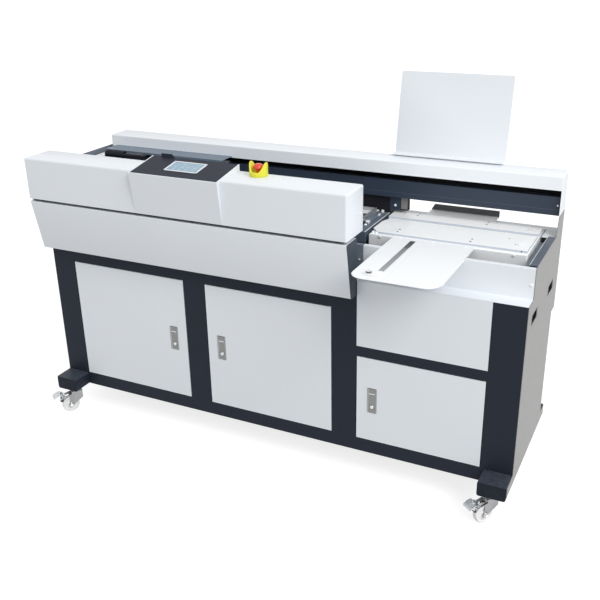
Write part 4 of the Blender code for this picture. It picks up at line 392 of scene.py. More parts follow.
nylon.follow(nylon.noise(90.0, 5.0, (1.0, 1.0, 0.25)), (0.82, 0.825, 0.81), (0.92, 0.925, 0.92),
             0.36, 0.2, 0.0001, 0.5)
rubber = Finish("black rubber", Roughness=0.75)
rubber.set(Base_Color=rubber.blend(rubber.noise(200.0, 4.0), (0.012, 0.012, 0.013),
                                   (0.035, 0.035, 0.036)))
rubber.grain(700.0, 0.00008, 0.8)


def even_metal(name, colour, smooth, spread, scale, metallic=1.0):
    """Metal of one colour, whose polish varies a little."""
    finish = Finish(name, Metallic=metallic, Base_Color=colour)
    finish.set(Roughness=smooth + spread * finish.noise(scale, 3.0))
    return finish


bright_zinc = even_metal("polished zinc", (0.8, 0.81, 0.83), 0.14, 0.12, 260.0)
# The swivel race is dark steel as painted shade, for the shadow under the foot.
race_painted_shade = even_metal("steel darkened as painted shade", (0.22, 0.225, 0.235), 0.3, 0.2, 150.0)


def turned_ring(shape, steps, spot):
    """A ring of points round the Z axis, with the reach and height that spot gives each angle."""
    ring = []
    for step in range(steps):
        angle = 2 * pi * step / steps
        reach, height = spot(angle)
        ring.append(shape.verts.new((reach * cos(angle), reach * sin(angle), height)))
    return ring


def lathe(profile, centre, aim, steps=48):
    """Turn a profile of (radius, height) points round an axis; a zero radius closes an end."""
    shape = bmesh.new()
    rings = [turned_ring(shape, steps if radius else 1, lambda angle: (radius, height))
             for radius, height in profile]
    walled(shape, rings, joined=len(rings[0]) > 1)
    turn = Vector(aim).to_track_quat("Z", "Y").to_matrix().to_4x4()
    bmesh.ops.transform(shape, matrix=Matrix.Translation(centre) @ turn, verts=shape.verts)
    return shape


upwards = (0, 0, 1)
joint_of = {joint["name"]: joint for joint in frame["joints"]}
half_hub = 0.012
tread_side = [(radius, half_hub - drop) for radius, drop in (
    (0.0041, 0.0), (0.0105, 0.0), (0.012, 0.0006), (0.013, 0.0022), (0.0175, 0.003),
    (0.024, 0.003), (0.0285, 0.002), (0.03, 0.0004), (0.033, 0.0004), (0.035, 0.002),
    (0.0365, 0.0045), (0.0372, 0.0075), (0.0375, 0.0105))]
wheel_profile = tread_side + [(radius, -height) for radius, height in reversed(tread_side)]
race_drop = 0.0034
race_profile = [(0.0235, -0.0052), (0.0246, -0.004), (0.0246, -0.0022), (0.0235, -0.001),
                (0.0225, -0.001), (0.0225, -0.0052)]
nut_profile = [(0.0, 0.0112), (0.0028, 0.0109), (0.0052, 0.0098), (0.007, 0.0078),
               (0.0076, 0.0055), (0.0086, 0.0048), (0.0092, 0.0044), (0.0092, 0.0002),
               (0.0, 0.0002)]
side_gap, fork_arm, axle_boss = 0.0015, 0.0025, 0.002
nut_seat = half_hub + side_gap + fork_arm + axle_boss
pad_reach, pad_top = 0.053, 0.0735
for corner in ("front_left", "front_right", "rear_left", "rear_right"):
    fork = corner + "_caster_fork"
    centre = Vector(joint_of[corner + "_wheel_roll"]["pos_m"])
    across = Vector(joint_of[corner + "_wheel_roll"]["axis"])
    swivel = Vector(joint_of[corner + "_swivel"]["pos_m"])
    dressed(fork, zinc_plate, 0.0005, suffix="_pressing")
    new_piece(corner + "_nylon_wheel", corner + "_caster_wheel", nylon,
              lathe(wheel_profile, centre, across, 72), creases=24.0, replaced=True)
    new_piece(corner + "_swivel_race", fork, race_painted_shade,
              lathe(race_profile, swivel - Vector((0, 0, race_drop)), upwards))
    nuts = [lathe(nut_profile, centre + across * sense * nut_seat, across * sense, 36)
            for sense in (-1, 1)]
    new_piece(corner + "_axle_nuts", fork, bright_zinc, *nuts, creases=34.0)
    if corner.startswith("front"):
        dressed(corner + "_brake_pedal", [pale_zinc, rubber], 0.0006, 3, "_stamping",
                chosen=lambda middle: (middle - centre).length < pad_reach and middle.z < pad_top)

# Three white doors hang on pins top and bottom, each a pan of sheet steel folded at its four edges.
# A flush lock sits near the free edge: a brushed lever in a shallow cup, let go by a bright round
# button.
brushed = Finish("brushed steel", Metallic=1.0)
brushed.follow(brushed.noise(60.0, 5.0, (14.0, 14.0, 0.35)), (0.17, 0.172, 0.168),
               (0.29, 0.29, 0.283), 0.3, 0.2, 0.00006, 0.8)
backwards = (0, 1, 0)
cap_profile = [(0.0, -0.0004), (0.003, -0.0003), (0.0058, 0.0001), (0.0072, 0.0006),
               (0.0078, 0.0014), (0.0078, 0.006), (0.0035, 0.006), (0.0035, 0.017), (0.0, 0.017)]
collar_profile = [(0.009, -0.0005), (0.0098, -0.0007), (0.0106, -0.0004), (0.0108, 0.0004),
                  (0.009, 0.0004)]
grip_margin, grip_top, grip_bottom = 0.0045, 0.0185, 0.0225
lock_gap, lock_head_gap, lock_corner = 0.0009, 0.0015, 0.0015
lock_rim = ((0.0, 0.0006), (0.0, -0.001), (0.0004, -0.0014), (0.0011, -0.0014),
            (0.0017, -0.0008), (0.0018, 0.0006))
for side in ("left", "middle", "right"):
    dressed(side + "_door", white_coat, 0.0009, 3)
    lever = side + "_lock_lever"
    dressed(lever, brushed, 0.0006, 3, "_plate")
    low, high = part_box(lever)
    button_low, button_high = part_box(side + "_lock_button")
    centre = (button_low + button_high) / 2
    centre.y = button_low.y
    new_piece(side + "_button_cap", side + "_lock_button", pale_zinc,
              lathe(cap_profile, centre, backwards, 40), replaced=True)
    # A raised finger lip near the lever's top, in pale zinc so that it shows as a painted highlight
    # bar.
    grip = rounded_plate((low.x + grip_margin, low.y - 0.0011, high.z - grip_bottom),
                         (high.x - grip_margin, low.y + 0.0004, high.z - grip_top),
                         "Y", 0.001, 0.0004, 3)
    new_piece(side + "_finger_grip", lever, pale_zinc, grip, creases=30.0)
    collar = lathe(collar_profile, (centre.x, low.y, centre.z), backwards, 40)
    new_piece(side + "_button_ring", lever, brushed, collar)
    shape = bmesh.new()
    inner_low = low - Vector((lock_gap, 0, lock_gap))
    inner_high = high + Vector((lock_gap, 0, lock_head_gap))
    rings = [rounded_ring(shape, inner_low, inner_high, "Y", lock_corner, -out, low.y + reach, 3)
             for out, reach in lock_rim]
    new_piece(side + "_lock_frame", side + "_door", brushed, walled(shape, rings, joined=True),
              creases=30.0)

dressed("fixed_front_panel", white_coat, 0.0009, 3)

# The ledge, its wall and the trough's edge in front of the table are one white folded sheet; to its
# left the same fold goes on in slate under the covers. The slate deck behind carries the mechanism,
# with plated clips, a sensor and a sheet guide screwed to it.
slate_coat = powder_coat("slate powder coat", (0.092, 0.123, 0.162), 0.4, 0.1, 0.38)
deep_slate = powder_coat("deep slate powder coat", (0.074, 0.097, 0.127), 0.38, 0.08, 0.38)
light_slate_and_painted_light = powder_coat("light slate coat and painted light", (0.165, 0.2, 0.245), 0.36)
lining_black = powder_coat("black lining", (0.01, 0.01, 0.013), 0.62, gloss=0.2)
plated_screw = even_metal("plated screw", (0.82, 0.83, 0.85), 0.22, 0.12, 300.0)
aluminium = Finish("rolled aluminium", Metallic=0.2)
aluminium.follow(aluminium.noise(70.0, 4.0, (0.5, 8.0, 8.0)), (0.86, 0.88, 0.9),
                 (0.96, 0.965, 0.97), 0.3, 0.15)
apron_back, apron_top = door_plane + 0.06, 0.93
wall_front, deck_top = door_plane + 0.4545, 0.9294
dressed("ledge_wall", white_coat, 0.001, 3)
# The apron's faces at the back of the trough, in the lower panel's shadow, take light slate as
# painted light.
dressed("front_apron", [deep_slate, light_slate_and_painted_light],
        chosen=lambda middle: middle.y > apron_back and middle.z < apron_top)
dressed("machine_deck", [slate_coat, lining_black], 0.0006,
        chosen=lambda middle: middle.y > wall_front and middle.z > deck_top + sheet)
dressed("side_rail", deep_slate, 0.0006)


def laid(low, high, corner, edge, steps=3):
    """A rounded plate that lies flat between two places on the machine."""
    return rounded_plate(at(*low), at(*high), "Z", corner, edge, steps)


# The rail's flange lies deep in the gap by the table; its light slate is painted light.
new_piece("side_rail_flange", "side_rail", light_slate_and_painted_light,
          laid((1.944, 0.088, 0.902), (1.969, 0.4035, 0.9038), 0.001, 0.0004))
# A thin bright strip along the rail's inner top edge is a painted highlight.
new_piece("side_rail_edge", "side_rail", aluminium,
          laid((1.969, 0.088, 0.929), (1.9706, 0.4035, 0.9299), 0.0004, 0.0002))


def screw_pattern(radius, height, drive):
    """A button-head screw, seat at the origin and aimed along +Z, with a six-sided drive hole."""
    shape = bmesh.new()

    def flat_sided(angle):
        return 1.0 / cos((angle + pi / 6) % (pi / 3) - pi / 6)

    rings = [turned_ring(shape, 24, lambda angle: (reach * flat_sided(angle), height * level))
             for reach, level in ((drive * 0.55, 0.35), (drive, 0.35), (drive, 0.96))]
    rings += [turned_ring(shape, 24, lambda angle: (reach, height * level))
              for reach, level in ((drive * 1.18, 0.99), (radius * 0.72, 0.86),
                                   (radius * 0.9, 0.58), (radius * 0.985, 0.25), (radius, 0.0))]
    return walled(shape, rings)


def fastener_tree():
    """Geometry nodes that stand one pattern on every point, aimed along the point's direction."""
    tree = bpy.data.node_groups.new("fasteners", "GeometryNodeTree")
    for name, way, kind in (("Points", "INPUT", "Geometry"), ("Pattern", "INPUT", "Object"),
                            ("Size", "INPUT", "Float"), ("Finish", "INPUT", "Material"),
                            ("Fasteners", "OUTPUT", "Geometry")):
        tree.interface.new_socket(name, in_out=way, socket_type="NodeSocket" + kind)
    start, end, pattern, aim, turn, stand, real, coat = [tree.nodes.new(kind) for kind in (
        "NodeGroupInput", "NodeGroupOutput", "GeometryNodeObjectInfo",
        "GeometryNodeInputNamedAttribute", "FunctionNodeAlignRotationToVector",
        "GeometryNodeInstanceOnPoints", "GeometryNodeRealizeInstances",
        "GeometryNodeSetMaterial")]
    aim.data_type = "FLOAT_VECTOR"
    aim.inputs["Name"].default_value = "aim"
    turn.axis = "Z"
    for source, output, target, socket in (
            (start, "Pattern", pattern, "Object"), (aim, "Attribute", turn, "Vector"),
            (start, "Points", stand, "Points"), (pattern, "Geometry", stand, "Instance"),
            (turn, "Rotation", stand, "Rotation"), (start, "Size", stand, "Scale"),
            (stand, "Instances", real, "Geometry"), (real, "Geometry", coat, "Geometry"),
            (start, "Finish", coat, "Material"), (coat, "Geometry", end, "Fasteners")):
        tree.links.new(source.outputs[output], target.inputs[socket])
    return tree


fastening = fastener_tree()


def fasteners(name, node, finish, size, aim, spots):
    """A set of like screws on one body, sized by radius, height and drive, and facing one way."""
    template = linked("pattern", to_mesh("pattern", screw_pattern(*size)))
    points = bpy.data.meshes.new("spots")
    points.from_pydata([tuple(spot) for spot in spots], [], [])
    for each in points.attributes.new("aim", "FLOAT_VECTOR", "POINT").data:
        each.vector = aim
    carrier = linked("spots", points)
    modifier = carrier.modifiers.new("fasteners", "NODES")
    modifier.node_group = fastening
    values = {"Pattern": template, "Size": 1.0, "Finish": finish.material}
    for socket in fastening.interface.items_tree:
        if socket.name in values:
            modifier[socket.identifier] = values[socket.name]
    graph = bpy.context.evaluated_depsgraph_get()
    mesh = bpy.data.meshes.new_from_object(carrier.evaluated_get(graph))
    mesh.name = name
    carrier.modifiers.clear()
    bpy.data.objects.remove(carrier)
    bpy.data.objects.remove(template)
    as_piece(name, mesh, node, finish, 34.0, replaced=False)


forwards = (0, -1, 0)
fasteners("ledge_screws", "ledge_wall", aluminium, (0.0056, 0.0034, 0.0014), forwards,
          [at(1.986, 0.067, 0.868), at(1.404, 0.067, 0.868)])
fasteners("deck_screws", "machine_deck", aluminium, (0.006, 0.0046, 0.0016), upwards,
          [at(1.2863, 0.3745, deck_top), at(1.3175, 0.271, deck_top)])
fasteners("apron_screws", "front_apron", plated_screw, (0.0042, 0.0022, 0.0014), forwards,
          [at(1.3766, 0.067, 0.8689)])
seat = deck_top - 0.0004
new_piece("sheet_guide", "machine_deck", light_slate_and_painted_light,
          laid((1.2965, 0.283, deck_top - 0.001), (1.3215, 0.398, deck_top + 0.0045),
               0.003, 0.0012, 4))
new_piece("aluminium_angle", "machine_deck", aluminium,
          laid((1.19, 0.4045, seat), (1.303, 0.4525, deck_top + 0.0022), 0.004, 0.0005, 4),
          laid((1.19, 0.45, deck_top), (1.303, 0.453, deck_top + 0.0065), 0.0012, 0.0004))
new_piece("deck_edge_strip", "machine_deck", aluminium,
          laid((1.3446, 0.192, seat), (1.3479, 0.452, deck_top + 0.0016), 0.0018, 0.0005))
clips = [laid((x0, y0, seat), (x1, y1, deck_top + rise), 0.0016, 0.0008, 4)
         for x0, y0, x1, y1, rise in (
             (1.3185, 0.394, 1.3255, 0.415, 0.006), (1.32, 0.438, 1.3262, 0.45, 0.004),
             (1.27, 0.45, 1.286, 0.454, 0.0105), (1.312, 0.45, 1.324, 0.454, 0.0085),
             (1.3085, 0.288, 1.3225, 0.309, 0.0085))]
new_piece("sensor_clips", "machine_deck", aluminium, *clips)
new_piece("sensor_block", "machine_deck", cap_plastic,
          laid((1.3, 0.272, seat), (1.312, 0.288, deck_top + 0.009), 0.0012, 0.0006),
          creases=30.0)

# Two white boxes of folded sheet close the front. The long cover has rounded corners and two small
# screws in its right end; the panel under it leans forward, its top folded over, and a dark groove
# runs between the two.
dressed("front_cover", white_coat, 0.0006)
fasteners("front_cover_screws", "front_cover", white_coat, (0.0042, 0.0024, 0.0012), (1, 0, 0),
          [at(1.3946, -0.0059, 1.0582), at(1.3946, 0.0356, 1.0512)])
# The lower panel's right end face is a darker slate, as painted shade.
end_slate_painted_shade = powder_coat("slate powder coat in shade", (0.04, 0.053, 0.072), 0.42, gloss=0.3)
end_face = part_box("lower_front_panel")[1].x - 0.0026
fold_front, fold_reach = door_plane - 0.04, 0.9
dressed("lower_front_panel", [white_coat, end_slate_painted_shade], 0.0006,
        chosen=lambda middle: middle.x > end_face,
        folds=lambda middle: middle.y < fold_front and abs(middle.x) < fold_reach, bend=0.0042)

# The operator's console is a wedge-shaped white hood with a dark plastic panel let into its sloping
# top. A touch screen stands a little proud of the panel: a white frame round a pale blue display of
# soft blocks.
dressed("console_housing", white_coat, 0.0011, 3)
graphite = Finish("graphite plastic", Specular_IOR_Level=0.22)
grain = graphite.noise(1400.0)
graphite.set(Base_Color=graphite.blend(graphite.noise(6.0, 3.0), (0.017, 0.021, 0.034),
                                       (0.026, 0.031, 0.046)),
             Roughness=0.55 + 0.12 * grain, Normal=graphite.bump(grain, 0.00003, 0.5))
dressed("console_panel", graphite, 0.0, creases=5.0)
console_front, screen_start = -0.113, 0.052
console_slope = atan2(0.028, 0.165)
console_top = (Matrix.Translation(at(0.5252, console_front, 1.1474))
               @ Matrix.Rotation(console_slope, 4, "X"))


def on_console(low, high, *rounding):
    """A flat plate drawn from the console's front left corner, laid on its sloping top."""
    shape = rounded_plate(low, high, "Z", *rounding)
    bmesh.ops.transform(shape, matrix=console_top, verts=shape.verts)
    return shape


screen_frame = Finish("white screen frame", Base_Color=(0.78, 0.8, 0.82), Roughness=0.28,
                      Coat_Weight=0.2)
screen_frame.grain(800.0, 0.00002, 0.4)
display = Finish("lit display", Roughness=0.14, Coat_Weight=0.15)
up_screen = display.part("Y") - (door_plane + console_front + screen_start)
tiles = display.node("TexVoronoi", {"Vector": display.place(), "Scale": 38.0,
                                    "Randomness": 0.35}, distance="CHEBYCHEV")
glow = display.blend(display.noise(14.0, 4.0), (0.13, 0.24, 0.34), (0.28, 0.42, 0.52))
glow = display.blend((tiles < 0.2) * 0.35, glow, (0.5, 0.6, 0.66))
glow = display.blend((up_screen < 0.012) * 0.5, glow, (0.16, 0.28, 0.38))
glow = display.blend((up_screen > 0.07) * 0.4, glow, (0.14, 0.25, 0.35))
display.set(Base_Color=glow, Emission_Color=glow, Emission_Strength=0.1)
x0, x1, y0, y1 = 0.123, 0.267, 0.0525, 0.137
rail, side_rail = 0.006, 0.0065
rails = [on_console((*low, -0.0009), (*high, 0.0011), 0.0016, 0.0006, 4)
         for low, high in (((x0, y0), (x1, y0 + rail)), ((x0, y1 - rail), (x1, y1)),
                           ((x0, y0), (x0 + side_rail, y1)), ((x1 - side_rail, y0), (x1, y1)))]
new_piece("screen_frame", "touch_screen", screen_frame, *rails, replaced=True)
new_piece("screen_face", "touch_screen", display,
          on_console((x0 + 0.006, y0 + 0.0055, 0.0002), (x1 - 0.006, y1 - 0.0055, 0.0006),
                     0.001, 0.0001, 3), replaced=True)

# The emergency stop is a red mushroom button in a yellow guard, whose wall drops low at the front
# and the back so that a palm can reach it. Both are moulded plastic, the button glossy.
yellow = Finish("yellow plastic", Roughness=0.38, Subsurface_Weight=0.08)
yellow.set(Base_Color=yellow.blend(yellow.noise(40.0, 3.0), (0.72, 0.69, 0.03),
                                   (0.78, 0.76, 0.06)))
yellow.grain(900.0, 0.00002, 0.5)
red = Finish("red plastic", Coat_Weight=0.25)
red.set(Base_Color=red.blend(red.noise(70.0, 3.0), (0.66, 0.042, 0.016), (0.76, 0.075, 0.026)),
        Roughness=0.26 + 0.12 * red.noise(200.0, 4.0))


def foot_of(node):
    """The middle of a node's underside."""
    low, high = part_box(node)
    return Vector((*(low + high).xy / 2, low.z))


def rim_height(angle):
    """The guard's height at an angle: 17 mm to the front and back, 50 mm at the sides."""
    low_wall, horn, flat, ramp = 0.017, 0.033, 24.0, 56.0
    off = abs((degrees(angle) + 90.0) % 180.0 - 90.0)
    share = min(max((90.0 - off - flat) / ramp, 0.0), 1.0)
    return low_wall + horn * (0.6 * share + 0.4 * share * share * (3 - 2 * share))


stop_foot = foot_of("estop_guard")
shape = bmesh.new()
rings = [turned_ring(shape, 120, lambda angle: (radius, rim_height(angle) * share + lift))
         for radius, share, lift in (
             (0.0295, 0.0, 0.0), (0.0335, 0.0, 0.0), (0.034, 0.0, 0.0008),
             (0.0339, 1.0, -0.002), (0.0334, 1.0, -0.0007), (0.0322, 1.0, 0.0),
             (0.0296, 1.0, 0.0), (0.0284, 1.0, -0.0007), (0.028, 1.0, -0.002),
             (0.0278, 0.0, 0.012), (0.011, 0.0, 0.012), (0.0095, 0.0, 0.0112),
             (0.0095, 0.0, 0.0))]
bmesh.ops.translate(walled(shape, rings, joined=True), vec=stop_foot, verts=shape.verts)
new_piece("guard_shell", "estop_guard", yellow, shape, creases=40.0, replaced=True)
mushroom = [(0.0, 0.0054), (0.0088, 0.0054), (0.0088, 0.024), (0.012, 0.0262), (0.0166, 0.0264),
            (0.0182, 0.0272), (0.0189, 0.0288), (0.0188, 0.0306), (0.018, 0.0342),
            (0.0162, 0.0378), (0.0134, 0.0408), (0.0098, 0.0428), (0.0052, 0.0438), (0.0, 0.044)]
new_piece("stop_mushroom", "estop_button", red, lathe(mushroom, stop_foot, upwards, 64),
          replaced=True)

# The rear cover closes the back of the machine, and inside, above the beam, it is painted black as
# painted shade; a slate shelf reaches forward from it over the parked clamp. Under it run the dark
# guide beam and its polished rail, and a steel post ends them.
# The cover's front and other outer faces get a lighter white than its top and right end, as painted
# light.
white_painted_lighter = powder_coat("white powder coat painted lighter", (0.86, 0.895, 0.93), 0.36)
hood_coat = powder_coat("pale slate powder coat", (0.125, 0.168, 0.222), 0.36, 0.1)
# Inside faces above 0.99 m are black and rougher: painted shade.
white_with_painted_shade_above = powder_coat("white coat with painted shade above", (0.785, 0.822, 0.862), 0.45)
painted_shade_above = white_with_painted_shade_above.part("Z") > 0.99
white_with_painted_shade_above.tint(painted_shade_above, (0.01, 0.01, 0.012))
white_with_painted_shade_above.set(Roughness=0.5 + 0.4 * painted_shade_above)
cover_front, shelf_top, hair = door_plane + 0.4227, 1.102, 0.0003
cover_low, cover_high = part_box("rear_cover")


def cover_side(middle):
    """Which finish a face of the rear cover has: 0 in front, 1 on the shelf, 2 inside, 3 on top
    and on the right end."""
    if middle.y < cover_front and middle.z < shelf_top:
        return 1
    if middle.x > cover_high.x - hair or middle.z > cover_high.z - hair:
        return 3
    inside = (cover_low.x + sheet < middle.x < cover_high.x - sheet
              and cover_front + sheet < middle.y < cover_high.y - sheet
              and middle.z < cover_high.z - sheet)
    return 2 if inside else 0


dressed("rear_cover", [white_painted_lighter, hood_coat, white_with_painted_shade_above, white_coat], 0.0006, chosen=cover_side)
beam_coat = powder_coat("dark slate powder coat", (0.032, 0.046, 0.072), 0.38, 0.04, 0.32)
# A thin lighter band along the beam's fold is a painted highlight.
fold_line, fold_highlight_half = 1.0185, 0.0009
beam_coat.tint((abs(beam_coat.part("Z") - fold_line) < fold_highlight_half) * 0.5, (0.1, 0.12, 0.15))
dressed("guide_beam", beam_coat, 0.0012, 3)
ground = Finish("ground steel", Metallic=1.0)
ground.follow(ground.noise(40.0, 4.0, (0.6, 10.0, 10.0)), (0.58, 0.59, 0.61), (0.72, 0.73, 0.75),
              0.16, 0.12)
dressed("guide_rail", ground, 0.0)
post_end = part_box("beam_post")[1].x - 0.0004
dressed("beam_post", [beam_coat, lining_black], 0.0, chosen=lambda middle: middle.x > post_end)
post_steel = Finish("satin steel", Metallic=0.25)
post_steel.follow(post_steel.noise(50.0, 4.0, (8.0, 8.0, 0.4)), (0.205, 0.2, 0.193),
                  (0.265, 0.258, 0.25), 0.38, 0.1)
new_piece("post_face", "beam_post", post_steel,
          rounded_plate(at(1.3935, 0.4538, 0.95), at(1.4192, 0.4549, 0.9968),
                        "Y", 0.0012, 0.0004, 3), creases=30.0)
# A black pad at the post's foot, painted shade for the dark under the post.
new_piece("post_boot", "beam_post", rubber,
          laid((1.3922, 0.4535, 0.9442), (1.4212, 0.4815, 0.9502), 0.002, 0.0008, 4))
fasteners("post_screw", "beam_post", aluminium, (0.0056, 0.0036, 0.0014), forwards,
          [at(1.3692, 0.455, 0.9621)])
fasteners("beam_end_screw", "guide_beam", plated_screw, (0.004, 0.0026, 0.0011), forwards,
          [at(1.986, 0.44, 1.0352)])
back_face = 0.5328
fasteners("cover_back_screws", "rear_cover", plated_screw, (0.0045, 0.0022, 0.0014), backwards,
          [at(x, back_face, z) for x in (0.06, 0.52, 0.98, 1.44, 1.965) for z in (1.02, 1.128)])
fasteners("back_panel_screws", "back_panel", plated_screw, (0.0045, 0.0022, 0.0014), backwards,
          [at(x, y, z) for x in (0.025, 0.51, 0.995, 1.48, 1.97)
           for y, z in ((0.478, 0.19), (0.478, 0.588), (back_face, 0.632), (back_face, 0.902))])

# A sheet-metal board leans back on the rear cover to hold the job's papers: a thin white plate with
# rounded top corners, bent forward into a lip that stands on two pads.
dressed("document_board", white_coat, 0.0005)

# The parked clamp: a ground steel jaw plate on bearings that run along the rail, a folded slate
# front jaw, and a black geared motor with ribbed cooling fins on top of it. A bright end plate with
# two bolts holds the spindle.
dressed("clamp_carriage", ground, 0.0006)
dressed("clamp_jaw", slate_coat)
motor_black = powder_coat("black motor enamel", (0.009, 0.011, 0.017), 0.4, gloss=0.22)
black_screw = even_metal("blackened screw", (0.04, 0.042, 0.048), 0.35, 0.2, 400.0, 0.6)
motor_low, motor_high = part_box("clamp_motor")
motor_radius, core, fin = 0.018, 0.0164, 0.0179
axis_y, axis_z = motor_low.y + motor_radius, motor_low.z + motor_radius
barrel_end = motor_low.x + 0.098
lid_top = motor_low.z + 0.0278
profile = [(0.0, 0.0), (0.012, 0.0), (0.015, 0.001), (core, 0.003)]
for start in (0.01 + rib * 0.0074 for rib in range(11)):
    profile += [(core, start), (fin, start + 0.0008), (fin, start + 0.003),
                (core, start + 0.0038)]
profile += [(0.017, 0.0925), (0.017, 0.097), (0.0, 0.097)]
body = lathe(profile, (motor_low.x, axis_y, axis_z), (1, 0, 0), 40)
gearbox = rounded_plate((barrel_end - 0.001, axis_y - 0.016, motor_low.z),
                        (motor_high.x, axis_y + 0.016, motor_low.z + 0.026),
                        "X", 0.0035, 0.0012, 4)
lid = rounded_plate((barrel_end + 0.008, axis_y - 0.0125, motor_low.z + 0.0255),
                    (motor_high.x - 0.01, axis_y + 0.0125, lid_top), "Z", 0.003, 0.0006, 4)
sole = rounded_plate((motor_low.x + 0.014, axis_y - 0.015, motor_low.z),
                     (barrel_end - 0.01, axis_y + 0.015, motor_low.z + 0.005),
                     "Z", 0.003, 0.0006, 4)
new_piece("geared_motor", "clamp_motor", motor_black, body, gearbox, lid, sole, replaced=True)
fasteners("gearbox_screws", "clamp_motor", black_screw, (0.0018, 0.0009, 0.0006), upwards,
          [Vector((x, y, lid_top)) for x in (barrel_end + 0.012, motor_high.x - 0.014)
           for y in (axis_y - 0.009, axis_y + 0.009)])
end_plate_top = 1.0735
new_piece("spindle_plate", "clamp_jaw", aluminium,
          laid((0.0235, 0.293, 1.0705), (0.064, 0.3828, end_plate_top), 0.003, 0.0006, 4))
fasteners("spindle_bolts", "clamp_jaw", plated_screw, (0.0048, 0.0045, 0.0019), upwards,
          [at(0.04, y, end_plate_top) for y in (0.33, 0.364)])

# Under the parked clamp's path stand the milling head and the glue tank. A cast motor carries a
# toothed cutter that roughens the spine, and a knurled roller lifts hot glue from a tank of cast
# aluminium.
cast_metal = Finish("cast aluminium", Metallic=0.9)
cast_metal.follow(cast_metal.noise(380.0, 4.0), (0.42, 0.43, 0.45), (0.6, 0.61, 0.62), 0.42, 0.2,
                  0.00015, 0.6)
dressed("milling_motor", cast_metal)
dressed("milling_cutter", ground, 0.0005)
dressed("glue_tank", cast_metal, 0.0009, 3)
dressed("glue_roller", ground, 0.0006)

# The press table lifts to the clamp: a deep white box with two flat nipping plates on top that
# close on the spine. The plates have paired screw holes, a tapped hole at the right, and bolts in
# the front plate's cut corner.
plate_coat = powder_coat("white enamel", (0.95, 0.97, 0.99), 0.3)
# The plates' upright sides are a greyer blue and the insides of holes near black: both painted
# shade.
plate_side_painted_shade = powder_coat("white enamel darkened as painted shade", (0.58, 0.63, 0.7), 0.34)
hole_painted_shade = Finish("painted shade inside a hole", Base_Color=(0.05, 0.055, 0.065), Roughness=0.6)
hole_painted_shade.grain(500.0, 0.00004, 0.5)


def drilled(node, holes, cuts=()):
    """A flat plate from the CAD with blind holes, each given by place, radius and depth, and with
    cut corners, its edges softened."""
    name, (low, high) = node + "_plate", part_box(node)
    drill_over, cut_over = 0.003, 0.002
    tools = []
    for x, y, radius, depth in holes:
        profile = [(0.0, -depth), (radius, -depth), (radius, drill_over), (0.0, drill_over)]
        tools.append((lathe(profile, at(x, y, high.z), upwards, 28), 1))
    for outline in cuts:
        wedge = bmesh.new()
        rings = [[wedge.verts.new(at(x, y, z)) for x, y in outline]
                 for z in (low.z - cut_over, high.z + cut_over)]
        tools.append((walled(wedge, rings), 0))
    blank = linked("blank", to_mesh(name, welded_copy(node)))
    spare = [blank]
    for tool, side in tools:
        for face in tool.faces:
            face.material_index = side
        step = blank.modifiers.new("cut", "BOOLEAN")
        step.operation = "DIFFERENCE"
        step.solver = "EXACT"
        step.object = linked("cutter", to_mesh("cutter", tool))
        spare.append(step.object)
    for item in spare:
        for coat in (plate_coat, hole_painted_shade):
            item.data.materials.append(coat.material)
    graph = bpy.context.evaluated_depsgraph_get()
    made = bpy.data.meshes.new_from_object(blank.evaluated_get(graph))
    made.name = name
    for item in spare:
        bpy.data.objects.remove(item)
    # Upright faces take the painted shade of the plate sides.
    sides = [polygon.material_index or 2 * (abs(polygon.normal.z) < 0.5)
             for polygon in made.polygons]
    made.polygons.foreach_set("material_index", sides)
    soften(as_piece(name, made, node, [plate_coat, hole_painted_shade, plate_side_painted_shade]), 0.0007)


dressed("table_box", plate_coat, 0.0012, 3)
drilled("front_nip_plate",
        [(1.4585, 0.262, 0.004, 0.005), (1.4579, 0.2351, 0.004, 0.005),
         (1.7311, 0.26, 0.004, 0.005), (1.7315, 0.2326, 0.004, 0.005),
         (1.8894, 0.2595, 0.0066, 0.002), (1.8495, 0.319, 0.0028, 0.004)],
        [[(1.35, 0.33), (1.3622, 0.33), (1.3772, 0.379), (1.35, 0.379)]])
drilled("rear_nip_plate",
        [(1.4636, 0.476, 0.004, 0.005), (1.4635, 0.4503, 0.004, 0.005),
         (1.735, 0.4721, 0.004, 0.005), (1.735, 0.445, 0.004, 0.005),
         (1.8957, 0.4384, 0.0066, 0.002), (1.4075, 0.4635, 0.0034, 0.004)])
table_top, plate_top = 0.9245, 0.9324
fasteners("plate_corner_bolts", "table_box", aluminium, (0.0056, 0.0074, 0.002), upwards,
          [at(1.3722, 0.2108, table_top), at(1.3858, 0.2075, table_top)])
fasteners("rear_plate_bolts", "rear_nip_plate", plate_coat, (0.0052, 0.0019, 0.0014), upwards,
          [at(1.3965, 0.4665, plate_top), at(1.8962, 0.4378, plate_top - 0.001)])
fasteners("front_plate_bolt", "front_nip_plate", plate_coat, (0.0052, 0.003, 0.0014), upwards,
          [at(1.8899, 0.2589, plate_top - 0.002)])
fasteners("stop_thread", "front_nip_plate", black_screw, (0.0026, 0.0006, 0.0012), forwards,
          [Vector((left_end + 1.9175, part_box("front_nip_plate")[0].y, 0.9287))])
fasteners("table_screws", "table_box", aluminium, (0.006, 0.0038, 0.0014), forwards,
          [at(1.4059, 0.1924, 0.9185), at(1.8946, 0.1924, 0.9169)])

# The cover tray hangs out in front of the table: one thin white sheet with big round corners, two
# faint lengthwise creases beside the slot of its rule, and three small screws. A side stop with a
# chrome knob slides in the slot.
tray_coat = powder_coat("white enamel with painted crease shade", (0.91, 0.93, 0.95), 0.3)
